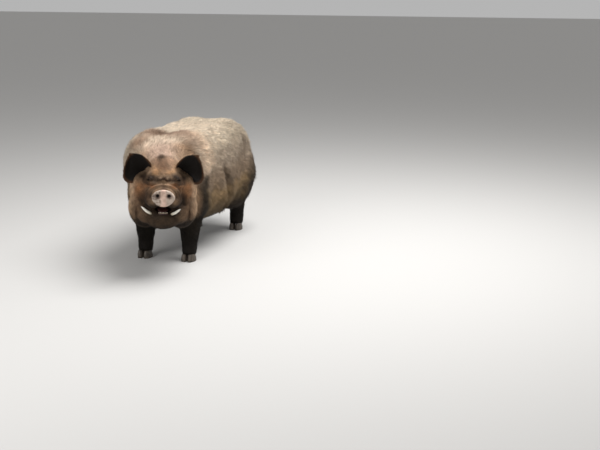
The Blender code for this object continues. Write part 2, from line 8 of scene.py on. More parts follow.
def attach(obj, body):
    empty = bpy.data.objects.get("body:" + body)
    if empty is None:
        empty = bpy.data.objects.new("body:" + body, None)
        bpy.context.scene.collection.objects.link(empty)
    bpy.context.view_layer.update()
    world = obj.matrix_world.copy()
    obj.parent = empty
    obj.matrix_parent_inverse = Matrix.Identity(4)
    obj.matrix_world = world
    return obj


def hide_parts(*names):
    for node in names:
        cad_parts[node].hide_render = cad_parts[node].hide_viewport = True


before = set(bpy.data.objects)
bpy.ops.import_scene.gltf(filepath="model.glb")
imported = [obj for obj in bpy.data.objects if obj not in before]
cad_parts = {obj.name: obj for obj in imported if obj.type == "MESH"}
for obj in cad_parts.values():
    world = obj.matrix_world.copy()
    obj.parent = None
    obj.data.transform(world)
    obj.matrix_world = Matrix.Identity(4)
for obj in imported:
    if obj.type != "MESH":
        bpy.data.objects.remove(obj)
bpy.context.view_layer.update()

# The pig stands along Y with its snout towards -Y and its left side towards +X, in metres.
# These sizes are those of the solids, except that the mouth opens a little less.
BACK_HEIGHT = 0.685
BELLY_HEIGHT = 0.138
HALF_WIDTH = 0.244
BARREL_MIDDLE = 0.11
SHOULDER_Y = -0.20
HIP_Y = 0.37
LEG_X = 0.128
HIND_LEG_X = 0.130
MIDDLE_X = -0.026
MIDDLE_Y = 0.024
MOVE_TO_ORIGIN = Vector((MIDDLE_X, MIDDLE_Y, 0.0))
HEAD_AT = Vector((0.090, -0.478, 0.430))
HEAD_TURN = math.radians(24)
HEAD_PITCH = math.radians(10)
HEAD_ROLL = math.radians(3)
SNOUT_Y = -0.238
SNOUT_Z = 0.044
DISC_HALF_WIDTH = 0.061
DISC_HALF_HEIGHT = 0.046
POLL_HEIGHT = 0.185
JOWL_HALF_WIDTH = 0.172
EYE_AT = Vector((0.066, -0.128, 0.105))
EYE_RADIUS = 0.0125
NOSTRIL_AT = Vector((0.0275, -0.238, 0.058))
EYE_TURN = math.radians(38)
MOUTH_AT = Vector((0.0, -0.190, -0.045))
MOUTH_RADII = (0.048, 0.072, 0.0140)
HOOF_TOP = 0.040
EAR_BASE = Vector((0.103, -0.052, 0.111))
EAR_UP = Vector((0.55, -0.13, 0.83))
EAR_DOWN = Vector((0.68, 0.12, -0.84))
EAR_LENGTH = 0.115
EAR_ROOT = 0.18
EAR_LOBE = 0.094
EAR_UPPER_HALF = 0.055
EAR_CUP = 0.032
EAR_CURL = 0.016
EAR_THICKNESS = 0.005
EAR_EDGE = 0.0015
TUSK_RADIUS = 0.0062
TOOTH_SPACING = 0.0080
AXIS_HEIGHT = 0.420
SIDES = {"left": 1, "right": -1}

# How finely the flesh is fused, and how far the skin lies inside the solids
TRUNK_VOXEL = 0.014
BODY_VOXEL = 0.0085
ROUGH_HEAD_VOXEL = 0.0045
HEAD_VOXEL = 0.0035
TOOTH_VOXEL = 0.0011
SKIN_DEPTH = 0.002
SKIN_SHADE = 0.70

# The coat: how many tufts grow where, and how they thin, sink in and change in colour towards the tip
COAT_SEED = 21
BODY_TUFTS = 64000
UNDER_TUFTS = 70000
FACE_TUFTS = 32000
LEG_TUFTS = 9000
EAR_TUFTS = 3000
TAIL_TUFTS = 900
WATTLE_TUFTS = 420
BODY_PIECE_TUFTS = 17000
UNDER_PIECE_TUFTS = 36000
MAP_PATCH = 0.003
ROOT_DEPTH = 0.0025
TUFT_BEND = 0.42
TUFT_THICKNESS = 0.55
ROOT_SHADE = 0.80
TIP_BRIGHTER = 0.28
SEEN_SHARE = 0.6
LOOSE_TUFTS = 0.03
DARK_TUFTS = 0.04
DARK_TUFT_SHADE = 0.74


# Camera, floor and light: the lens and its height, and where the pig stands in front of it
LENS = 60
SENSOR_WIDTH = 36
CAMERA_HEIGHT = 1.5
CAMERA_PITCH = math.radians(14.2)
PIG_IN_VIEW = Vector((-0.622, 5.417, 0.0))
PIG_YAW = math.radians(17)
SKY_STRENGTH = 0.46
FLOOR_COLOUR = (0.53, 0.52, 0.505)


def add_object(name, data):
    obj = bpy.data.objects.new(name, data)
    bpy.context.scene.collection.objects.link(obj)
    return obj


def stand_camera():
    """The photograph's viewpoint: a standing person's height, a little to the pig's left."""
    lens = bpy.data.cameras.new("camera")
    lens.lens = LENS
    lens.sensor_width = SENSOR_WIDTH
    camera = add_object("camera", lens)
    tilt = Matrix.Rotation(math.radians(90) - CAMERA_PITCH, 4, "X")
    eye_level = Matrix.Translation((0, 0, CAMERA_HEIGHT)) @ tilt
    pig = Matrix.Translation(PIG_IN_VIEW) @ Matrix.Rotation(-PIG_YAW, 4, "Z")
    camera.matrix_world = pig.inverted() @ eye_level
    bpy.context.scene.camera = camera


def lay_floor():
    bpy.ops.mesh.primitive_plane_add(size=60)
    floor = bpy.context.object
    floor.name = "floor"
    floor.data.materials.append(plain_material("floor_paper", FLOOR_COLOUR, 0.9))


def area_light(name, place, aim, size, power):
    lamp = bpy.data.lights.new(name, "AREA")
    lamp.shape = "DISK"
    lamp.size = size
    lamp.energy = power
    obj = add_object(name, lamp)
    obj.location = place
    obj.rotation_euler = (Vector(aim) - Vector(place)).to_track_quat("-Z", "Y").to_euler()


def light_studio():
    world = bpy.data.worlds.new("studio")
    world.use_nodes = True
    sky = world.node_tree.nodes["Background"]
    sky.inputs["Color"].default_value = (1.0, 1.0, 1.0, 1.0)
    sky.inputs["Strength"].default_value = SKY_STRENGTH
    bpy.context.scene.world = world
    bpy.context.scene.view_settings.view_transform = "Standard"
    area_light("overhead", (1.3, 0.2, 3.3), (0, 0, 0.4), 2.6, 175)
    area_light("front_fill", (-1.2, -3.4, 1.9), (0, -0.3, 0.4), 2.4, 56)


# Materials

def plain_material(name, colour, roughness, shine=0.5):
    made = bpy.data.materials.new(name)
    made.use_nodes = True
    shader = made.node_tree.nodes["Principled BSDF"]
    shader.inputs["Base Color"].default_value = (*colour, 1.0)
    shader.inputs["Roughness"].default_value = roughness
    shader.inputs["Specular IOR Level"].default_value = shine
    return made


def node(tree, kind, **settings):
    made = tree.nodes.new(kind)
    for name, value in settings.items():
        setattr(made, name, value)
    return made


def noise(tree, scale, detail=3.0):
    """A cloudy pattern with patches of one size."""
    where = node(tree, "ShaderNodeTexCoord")
    cloud = node(tree, "ShaderNodeTexNoise")
    cloud.inputs["Scale"].default_value = scale
    cloud.inputs["Detail"].default_value = detail
    tree.links.new(where.outputs["Object"], cloud.inputs["Vector"])
    return cloud.outputs["Fac"]


def ramp(tree, source, *stops):
    """The colours that a pattern stands for."""
    made = node(tree, "ShaderNodeValToRGB")
    while len(made.color_ramp.elements) < len(stops):
        made.color_ramp.elements.new(0.5)
    for element, (place, colour) in zip(made.color_ramp.elements, stops):
        element.position = place
        element.color = (*colour, 1.0)
    tree.links.new(source, made.inputs["Fac"])
    return made.outputs["Color"]


def paint(tree, colour):
    tree.links.new(colour, tree.nodes["Principled BSDF"].inputs["Base Color"])


def patchy(tree, colour, scale, low, high):
    """Makes the surface's colour lighter and darker in small patches, and hands back their pattern."""
    cloud = noise(tree, scale)
    shade = ramp(tree, cloud, (0.3, (low,) * 3), (0.7, (high,) * 3))
    mix = node(tree, "ShaderNodeMix", data_type="RGBA", blend_type="MULTIPLY")
    mix.inputs[0].default_value = 1.0
    tree.links.new(colour, mix.inputs[6])
    tree.links.new(shade, mix.inputs[7])
    paint(tree, mix.outputs[2])
    return cloud


def roughen(tree, height, strength, distance):
    """Gives the surface the fine relief of a pattern."""
    bump = node(tree, "ShaderNodeBump")
    bump.inputs["Strength"].default_value = strength
    bump.inputs["Distance"].default_value = distance
    tree.links.new(height, bump.inputs["Height"])
    tree.links.new(bump.outputs["Normal"], tree.nodes["Principled BSDF"].inputs["Normal"])


def marked_material(name, roughness, low, high, scale, grain=None, depth=0.001):
    """A surface that takes its colour from its markings, made lighter and darker in small patches."""
    made = plain_material(name, (0.5, 0.5, 0.5), roughness, 0.15)
    tree = made.node_tree
    marking = node(tree, "ShaderNodeAttribute", attribute_name="marking")
    patchy(tree, marking.outputs["Color"], scale, low, high)
    if grain:
        roughen(tree, noise(tree, grain, 4.0), 0.8, depth)
    return made


def along_material(name, roughness, scale, depth, *stops, shine=0.5):
    """A smooth piece coloured by how far along it a point lies, with fine growth lines."""
    made = plain_material(name, (0.5, 0.5, 0.5), roughness, shine)
    tree = made.node_tree
    along = node(tree, "ShaderNodeAttribute", attribute_name="along")
    colour = ramp(tree, along.outputs["Fac"], *stops)
    roughen(tree, patchy(tree, colour, scale, 0.72, 1.0), 0.5, depth)
    return made


def horn_material():
    """Dark hoof horn, uneven in colour, with rings of growth round it."""
    made = plain_material("hoof_horn", (0.05, 0.04, 0.03), 0.5)
    tree = made.node_tree
    where = node(tree, "ShaderNodeTexCoord")
    rings = node(tree, "ShaderNodeTexWave", wave_type="BANDS", bands_direction="Z")
    rings.inputs["Scale"].default_value = 60
    rings.inputs["Distortion"].default_value = 2.5
    rings.inputs["Detail"].default_value = 2.0
    tree.links.new(where.outputs["Object"], rings.inputs["Vector"])
    paint(tree, ramp(tree, noise(tree, 70), (0.35, (0.030, 0.024, 0.019)), (0.75, (0.11, 0.085, 0.062))))
    roughen(tree, rings.outputs["Fac"], 0.35, 0.0006)
    return made


# Shaping tools

def alone(obj):
    bpy.ops.object.select_all(action="DESELECT")
    obj.select_set(True)
    bpy.context.view_layer.objects.active = obj
    return obj


def changed(obj, kind, **settings):
    """Gives the object one more change of shape, to be carried out by applied."""
    step = obj.modifiers.new(kind.lower(), kind)
    for name, value in settings.items():
        setattr(step, name, value)


def applied(obj):
    alone(obj)
    for modifier in list(obj.modifiers):
        bpy.ops.object.modifier_apply(modifier=modifier.name)
    return obj


def sided(point, side):
    """A point of the left side, or its mirror image."""
    return side * point[0], point[1], point[2]


def ball(centre, radii, place=Matrix.Identity(4), turn=(0, 0, 0), segments=32):
    """An ellipsoid of flesh."""
    bpy.ops.mesh.primitive_uv_sphere_add(segments=segments, ring_count=segments * 2 // 3, radius=1.0)
    obj = bpy.context.object
    turn = Euler([math.radians(a) for a in turn]).to_matrix().to_4x4()
    obj.data.transform(place @ Matrix.Translation(centre) @ turn @ Matrix.Diagonal((*radii, 1.0)))
    return obj


def pair(centre, radii, place):
    return [ball(sided(centre, side), radii, place) for side in (1, -1)]


def smooth_path(points, steps):
    """Points read from a smooth curve through the given ones."""
    points = [Vector(p) for p in points]
    ends = [2 * points[0] - points[1], *points, 2 * points[-1] - points[-2]]
    path = []
    for before, start, end, after in zip(ends, ends[1:], ends[2:], ends[3:]):
        for step in range(steps):
            t = step / steps
            path.append(0.5 * (2 * start + (end - before) * t
                               + (2 * before - 5 * start + 4 * end - after) * t * t
                               + (3 * start - before - 3 * end + after) * t ** 3))
    return [*path, points[-1]]


def face_outwards(obj, weld=0.0):
    """Turns the faces of an object outwards, after double points closer than the weld are made one."""
    alone(obj)
    bpy.ops.object.mode_set(mode="EDIT")
    bpy.ops.mesh.select_all(action="SELECT")
    if weld:
        bpy.ops.mesh.remove_doubles(threshold=weld)
    bpy.ops.mesh.normals_make_consistent(inside=False)
    bpy.ops.object.mode_set(mode="OBJECT")


def tube(points, radii, name, resolution=4):
    """A closed round tube that thins along its path. Its points know their share of the way along."""
    curve = bpy.data.curves.new(name, "CURVE")
    curve.dimensions = "3D"
    curve.bevel_depth = 1.0
    curve.bevel_resolution = resolution
    curve.use_fill_caps = True
    spline = curve.splines.new("POLY")
    spline.points.add(len(points) - 1)
    for point, place, radius in zip(spline.points, points, radii):
        point.co = (*place, 1.0)
        point.radius = radius
    alone(add_object(name, curve))
    bpy.ops.object.convert(target="MESH")
    obj = bpy.context.object
    face_outwards(obj, weld=1e-5)
    path = np.array([tuple(p) for p in points])
    places = points_of(obj)
    nearest = np.linalg.norm(places[:, None] - path[None], axis=2).argmin(axis=1)
    number(obj, "along", nearest / (len(path) - 1))
    return obj


def points_of(obj):
    co = np.empty(len(obj.data.vertices) * 3)
    obj.data.vertices.foreach_get("co", co)
    return co.reshape(-1, 3)


def normals_of(obj):
    out = np.empty(len(obj.data.vertices) * 3)
    obj.data.vertex_normals.foreach_get("vector", out)
    return out.reshape(-1, 3)


def place_points(obj, points):
    obj.data.vertices.foreach_set("co", points.astype(np.float32).reshape(-1))
    obj.data.update()


def number(obj, name, values):
    attribute = obj.data.attributes.new(name, "FLOAT", "POINT")
    attribute.data.foreach_set("value", np.asarray(values, np.float32))


def colour_points(obj, colours):
    attribute = obj.data.color_attributes.new("marking", "FLOAT_COLOR", "POINT")
    solid = np.ones((len(colours), 4), np.float32)
    solid[:, :3] = colours
    attribute.data.foreach_set("color", solid.reshape(-1))


def joined(pieces):
    obj = alone(pieces[0])
    for piece in pieces[1:]:
        piece.select_set(True)
    if len(pieces) > 1:
        bpy.ops.object.join()
    return obj


def fused(pieces, voxel, rounds):
    """One smooth closed surface round all the pieces."""
    obj = joined(pieces)
    changed(obj, "REMESH", mode="VOXEL", voxel_size=voxel)
    changed(obj, "SMOOTH", factor=0.5, iterations=rounds)
    return applied(obj)


def eased(obj, weights, rounds):
    """The object smoothed only where the weights say so."""
    group = obj.vertex_groups.new(name="ease")
    for index in np.flatnonzero(weights > 0.01):
        group.add([int(index)], float(weights[index]), "REPLACE")
    changed(obj, "SMOOTH", vertex_group="ease", factor=0.5, iterations=rounds)
    return applied(obj)


def combined(obj, other, operation):
    """The object with another taken away from it or added to it."""
    changed(obj, "BOOLEAN", operation=operation, solver="MANIFOLD", object=other)
    applied(obj)
    bpy.data.objects.remove(other, do_unlink=True)
    return obj


def finish_piece(piece, name, material, slot, *nodes, smooth=True):
    """Names a finished piece, gives it its finish, and lets it stand for its nodes."""
    piece.name = name
    piece.data.materials.clear()
    piece.data.materials.append(material)
    if smooth:
        piece.data.shade_smooth()
    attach(piece, "root")
    if nodes:
        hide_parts(*nodes)


# The flesh

BODY = Matrix.Translation(MOVE_TO_ORIGIN)
NOD = Matrix.Rotation(HEAD_PITCH, 4, "X") @ Matrix.Rotation(HEAD_ROLL, 4, "Y")
HEAD = BODY @ Matrix.Translation(HEAD_AT) @ Matrix.Rotation(HEAD_TURN, 4, "Z") @ NOD
HEAD_AXES = np.array(HEAD)[:3, :3]


def torso_masses():
    """A long barrel, broad and nearly flat along the back, with the belly slung below it."""
    saddle = BACK_HEIGHT - 0.162
    return [
        ball((0, BARREL_MIDDLE, 0.430), (HALF_WIDTH, 0.46, 0.236), BODY),
        ball((0, BARREL_MIDDLE, BELLY_HEIGHT + 0.200), (HALF_WIDTH, 0.38, 0.200), BODY),
        ball((0, BARREL_MIDDLE, BACK_HEIGHT - 0.150), (0.150, 0.42, 0.150), BODY),
        *pair((0.084, -0.08, saddle), (0.138, 0.22, 0.160), BODY),
        *pair((0.084, 0.11, saddle), (0.138, 0.22, 0.160), BODY),
        *pair((0.084, 0.30, saddle), (0.138, 0.22, 0.160), BODY),
        *pair((0.092, SHOULDER_Y, saddle + 0.002), (0.136, 0.20, 0.163), BODY),
        *pair((0.080, SHOULDER_Y, 0.370), (0.140, 0.19, 0.208), BODY),
        *pair((0.086, HIP_Y, saddle - 0.018), (0.138, 0.20, 0.164), BODY),
        *pair((0.105, HIP_Y + 0.02, 0.355), (0.151, 0.19, 0.220), BODY),
        ball((0, HIP_Y + 0.09, 0.480), (0.160, 0.160, 0.172), BODY),
        ball((0, SHOULDER_Y - 0.01, 0.325), (0.150, 0.140, 0.138), BODY),
    ]


def neck_masses():
    """A neck as thick as the head, that bends to the left."""
    return [
        ball((0.086, -0.290, 0.515), (0.130, 0.150, 0.160), BODY),
        ball((-0.076, -0.290, 0.512), (0.122, 0.150, 0.157), BODY),
        ball((0.106, -0.350, 0.508), (0.114, 0.130, 0.148), BODY),
        ball((-0.050, -0.350, 0.508), (0.114, 0.130, 0.148), BODY),
        ball((0.012, -0.310, 0.505), (0.120, 0.180, 0.158), BODY),
        ball((0.060, -0.400, 0.460), (0.160, 0.160, 0.165), BODY),
        ball((0.048, -0.375, 0.370), (0.155, 0.150, 0.150), BODY),
    ]


def skull_masses():
    crown = POLL_HEIGHT - 0.094
    return [
        ball((0, -0.006, crown), (0.094, 0.106, 0.094), HEAD),
        ball((0, -0.076, crown + 0.002), (0.080, 0.070, 0.062), HEAD),
        ball((-0.006, 0.055, crown + 0.016), (0.084, 0.090, 0.080), HEAD),
        ball((0, 0.104, 0.045), (0.145, 0.136, 0.146), HEAD),
        *pair((0.084, -0.034, 0.004), (0.084, 0.098, 0.104), HEAD),
        *pair((JOWL_HALF_WIDTH - 0.084, -0.030, -0.080), (0.084, 0.104, 0.106), HEAD),
        *pair((0.058, -0.098, 0.078), (0.046, 0.050, 0.046), HEAD),
        ball((0, -0.020, -0.092), (0.110, 0.115, 0.088), HEAD),
    ]


def leg_tube(side, hind):
    if hind:
        points = [(0.104, 0.370, 0.360), (0.126, 0.405, 0.250), (HIND_LEG_X, 0.458, 0.185),
                  (HIND_LEG_X, 0.462, 0.115), (HIND_LEG_X, 0.456, 0.062), (HIND_LEG_X, 0.448, 0.030)]
        radii = [0.090, 0.084, 0.056, 0.042, 0.043, 0.040]
    else:
        points = [(0.104, -0.215, 0.360), (0.122, -0.236, 0.230), (LEG_X, -0.246, 0.160),
                  (LEG_X, -0.250, 0.105), (LEG_X, -0.256, 0.060), (LEG_X, -0.262, 0.030)]
        radii = [0.072, 0.070, 0.053, 0.043, 0.043, 0.040]
    return tube([BODY @ Vector(sided(p, side)) for p in points], radii, "leg", resolution=6)


def snout_disc():
    """The flat round end of the snout, with a rounded rim."""
    upright = (math.radians(90), 0, 0)
    bpy.ops.mesh.primitive_cylinder_add(vertices=48, radius=1.0, depth=1.0, rotation=upright)
    disc = bpy.context.object
    bpy.ops.object.transform_apply(location=True, rotation=True, scale=True)
    disc.data.transform(Matrix.Diagonal((DISC_HALF_WIDTH - 0.001, 0.020, DISC_HALF_HEIGHT, 1.0)))
    changed(disc, "BEVEL", width=0.0075, segments=4)
    applied(disc)
    points = points_of(disc)
    points[:, 0] *= 1 - 0.16 * rise(-points[:, 2], -0.010, DISC_HALF_HEIGHT)
    place_points(disc, points)
    lean = Matrix.Rotation(math.radians(-6), 4, "X")
    disc.data.transform(HEAD @ Matrix.Translation((0, SNOUT_Y + 0.012, SNOUT_Z)) @ lean)
    return disc


def muzzle_masses():
    return [
        ball((0, -0.128, SNOUT_Z - 0.004), (0.088, 0.080, 0.062), HEAD, (6, 0, 0)),
        ball((0, -0.176, SNOUT_Z - 0.002), (0.060, 0.045, 0.044), HEAD),
        *pair((0.044, -0.146, 0.004), (0.048, 0.060, 0.036), HEAD),
        ball((0, -0.105, -0.096), (0.096, 0.098, 0.057), HEAD, (8, 0, 0)),
        *pair((0.070, -0.088, -0.078), (0.066, 0.088, 0.062), HEAD),
        ball((0, -0.158, -0.090), (0.062, 0.050, 0.041), HEAD, (10, 0, 0)),
        snout_disc(),
    ]


def mouth_cutter():
    """The almond opening between the lips, closed at the corners."""
    return ball(MOUTH_AT, MOUTH_RADII, HEAD, segments=40)


def eye_frame(side):
    """The eye looks forwards and well out to its side."""
    return HEAD @ Matrix.Translation(sided(EYE_AT, side)) @ Matrix.Rotation(side * EYE_TURN, 4, "Z")


def lid_mound(side):
    """The skin that closes over the eyeball all round."""
    return ball((0, 0, 0), [EYE_RADIUS * r for r in (1.62, 1.42, 1.40)], eye_frame(side), segments=24)


def eye_slit(side):
    """The almond opening between the lids."""
    return ball((0, -EYE_RADIUS * 1.15, 0), [EYE_RADIUS * r for r in (0.84, 0.90, 0.34)],
                eye_frame(side), (0, side * 12, 0), 24)


def nostril_cutter(side):
    return ball(sided(NOSTRIL_AT, side), (0.0080, 0.016, 0.0075), HEAD, (0, side * 28, 0), 20)


# Folds of the skin in the head's own frame: a path, its depth, its width, and whether it has a twin
HEAD_FOLDS = (
    (((-0.047, -0.205, 0.036), (-0.034, -0.206, 0.066), (0, -0.206, 0.077), (0.034, -0.206, 0.066),
      (0.047, -0.205, 0.036)), 0.0045, 0.0050, False),
    (((-0.062, -0.178, 0.026), (-0.050, -0.180, 0.068), (0, -0.178, 0.088), (0.050, -0.180, 0.068),
      (0.062, -0.178, 0.026)), 0.0050, 0.0065, False),
    (((-0.084, -0.148, 0.050), (-0.052, -0.156, 0.086), (0, -0.152, 0.100), (0.052, -0.156, 0.086),
      (0.084, -0.148, 0.050)), 0.0045, 0.0070, False),
    (((0.084, -0.156, 0.072), (0.098, -0.142, 0.036), (0.104, -0.128, -0.008), (0.102, -0.118, -0.044)),
     0.0055, 0.0090, True),
    (((0.040, -0.156, 0.090), (0.066, -0.152, 0.082), (0.096, -0.132, 0.083)), 0.0045, 0.0060, True),
    (((0.016, -0.146, 0.112), (0.044, -0.148, 0.128), (0.074, -0.138, 0.128), (0.102, -0.112, 0.114)),
     -0.0110, 0.0095, True),
    (((0.026, -0.136, 0.150), (0.064, -0.122, 0.150), (0.100, -0.090, 0.136)), 0.0050, 0.0075, True),
    (((0.050, -0.196, -0.034), (0.070, -0.168, -0.042), (0.092, -0.135, -0.044), (0.106, -0.108, -0.036)),
     0.0060, 0.0060, True),
    (((0.013, -0.152, 0.116), (0.015, -0.140, 0.142), (0.024, -0.116, 0.166)), 0.0040, 0.0065, True),
    (((-0.050, -0.094, 0.164), (0, -0.108, 0.170), (0.050, -0.094, 0.164)), 0.0030, 0.0080, False),
    (((0.118, -0.106, -0.040), (0.134, -0.090, -0.086), (0.130, -0.076, -0.130)), 0.0015, 0.0090, True),
)

# Folds of the body: the crease behind the elbow and flank, and the roll where the neck meets the shoulder
BODY_FOLDS = (
    (((0.236, 0.000, 0.480), (0.242, 0.020, 0.385), (0.236, 0.055, 0.290), (0.200, 0.085, 0.220)),
     0.013, 0.020, True),
    (((0.215, 0.300, 0.300), (0.190, 0.330, 0.235), (0.150, 0.345, 0.200)), 0.010, 0.018, True),
    (((0.222, -0.130, 0.300), (0.205, -0.125, 0.235), (0.170, -0.120, 0.200)), 0.010, 0.018, True),
)


def from_path(points, path):
    """How far each point lies from a path."""
    path = np.array([tuple(p) for p in path])
    nearest = np.full(len(points), 9.0)
    for start, end in zip(path, path[1:]):
        run = end - start
        share = np.clip((points - start) @ run / (run @ run), 0, 1)
        nearest = np.minimum(nearest, np.linalg.norm(points - start - share[:, None] * run, axis=1))
    return nearest


def press_folds(obj, folds, place):
    """Presses each fold in along its path, and lifts a soft roll on both sides of it."""
    points = points_of(obj)
    normals = normals_of(obj)
    local = seen_from(place, points)
    shift = np.zeros(len(points))
    for path, depth, width, twin in folds:
        for side in (1, -1) if twin else (1,):
            away = from_path(local, smooth_path([sided(p, side) for p in path], 4))
            shift -= depth * np.exp(-(away / width) ** 2)
            shift += 0.45 * depth * np.exp(-((away - 2.0 * width) / width) ** 2)
    place_points(obj, points + normals * shift[:, None])


def press_dish(head):
    """Presses a shallow dish into the flat end of the snout and raises a soft ring round each nostril."""
    points = points_of(head)
    h = head_points(points)
    shift = 0.0034 * fall(from_disc(h), 0.80, 0.20)
    for side in (1, -1):
        away = np.hypot(h[:, 0] - side * NOSTRIL_AT.x, h[:, 2] - NOSTRIL_AT.z)
        shift -= 0.0026 * np.exp(-((away - 0.0125) / 0.0050) ** 2)
    shift *= rise(-h[:, 1], 0.2200, 0.2290)
    place_points(head, points + shift[:, None] * HEAD_AXES[:, 1])


def tail_tube():
    """A thin tail that hangs down from the rump."""
    points = [(0, 0.570, 0.535), (0.002, 0.625, 0.525), (0.010, 0.648, 0.485), (0.012, 0.650, 0.430),
              (0.006, 0.646, 0.375), (0.000, 0.642, 0.315)]
    path = smooth_path([BODY @ Vector(p) for p in points], 4)
    radii = 0.020 - 0.012 * np.minimum(1, np.linspace(0, 1, len(path)) * 2.2)
    radii[-1] = 0.003
    return tube(path, list(radii), "tail")


def make_skin():
    """The pig's whole skin in one surface: body and legs, a finer head, and the tail."""
    legs = [leg_tube(side, hind) for side in (1, -1) for hind in (False, True)]
    trunk = fused([*torso_masses(), *neck_masses()], TRUNK_VOXEL, 40)
    skin = fused([trunk, *skull_masses(), *legs], BODY_VOXEL, 16)
    press_folds(skin, BODY_FOLDS, BODY)

    head = fused([*skull_masses(), *muzzle_masses()], ROUGH_HEAD_VOXEL, 2)
    head = combined(head, mouth_cutter(), "DIFFERENCE")
    for side in (1, -1):
        head = combined(head, nostril_cutter(side), "DIFFERENCE")
    head = fused([head], HEAD_VOXEL, 4)
    press_folds(head, HEAD_FOLDS, HEAD)
    press_dish(head)
    for side in (1, -1):
        head = combined(head, lid_mound(side), "UNION")
    h = head_points(points_of(head))
    from_eye = np.linalg.norm(np.abs(h) * (1, -1, 1) - np.array(EYE_AT), axis=1)
    head = eased(head, fall(from_eye, 0.036, 0.022), 5)
    for side in (1, -1):
        head = combined(head, eye_slit(side), "DIFFERENCE")
    skin = combined(skin, head, "UNION")
    h = head_points(points_of(skin))
    skin = eased(skin, rise(h[:, 1], -0.010, 0.050) * fall(h[:, 1], 0.240, 0.160), 24)

    skin = combined(skin, tail_tube(), "UNION")
    changed(skin, "DISPLACE", mid_level=0.0, strength=-SKIN_DEPTH)
    return applied(skin)


# Markings

def tone(red, green, blue):
    """A colour given in everyday 0 to 255 values."""
    share = np.array((red, green, blue)) / 255
    return np.where(share <= 0.04045, share / 12.92, ((share + 0.055) / 1.055) ** 2.4)


def ripple(points, size, seed):
    """A smooth uneven pattern from -1 to 1, with patches of about this size."""
    chance = np.random.default_rng(seed)
    total = np.zeros(len(points))
    for _ in range(7):
        way = chance.normal(size=3)
        way *= 2 * math.pi / size / np.linalg.norm(way) * chance.uniform(0.6, 1.5)
        total += np.sin(points @ way + chance.uniform(0, 2 * math.pi))
    return np.clip(total / 4, -1, 1)


def rise(values, low, high):
    """0 below low, 1 above high, smooth between."""
    share = np.clip((values - low) / (high - low), 0, 1)
    return share * share * (3 - 2 * share)


def fall(values, high, low):
    """0 above high, 1 below low, smooth between."""
    return rise(-values, -high, -low)


def seen_from(place, points):
    """The points as measured in another frame."""
    inverse = np.array(place.inverted())
    return points @ inverse[:3, :3].T + inverse[:3, 3]


def head_points(points):
    return seen_from(HEAD, points)


def from_disc(h):
    """The squared distance of each head point from the middle of the snout's end, where its edge is at 1."""
    across = h[:, 0] / DISC_HALF_WIDTH
    up = (h[:, 2] - SNOUT_Z) / DISC_HALF_HEIGHT
    return across ** 2 + up ** 2


def spot(points, centre, radii, edge=2.0):
    """1 in the middle of a soft patch, a half at its radii, and 0 well outside."""
    away = np.linalg.norm((points - np.array(centre)) / np.array(radii), axis=1)
    return 0.5 ** (away ** edge)


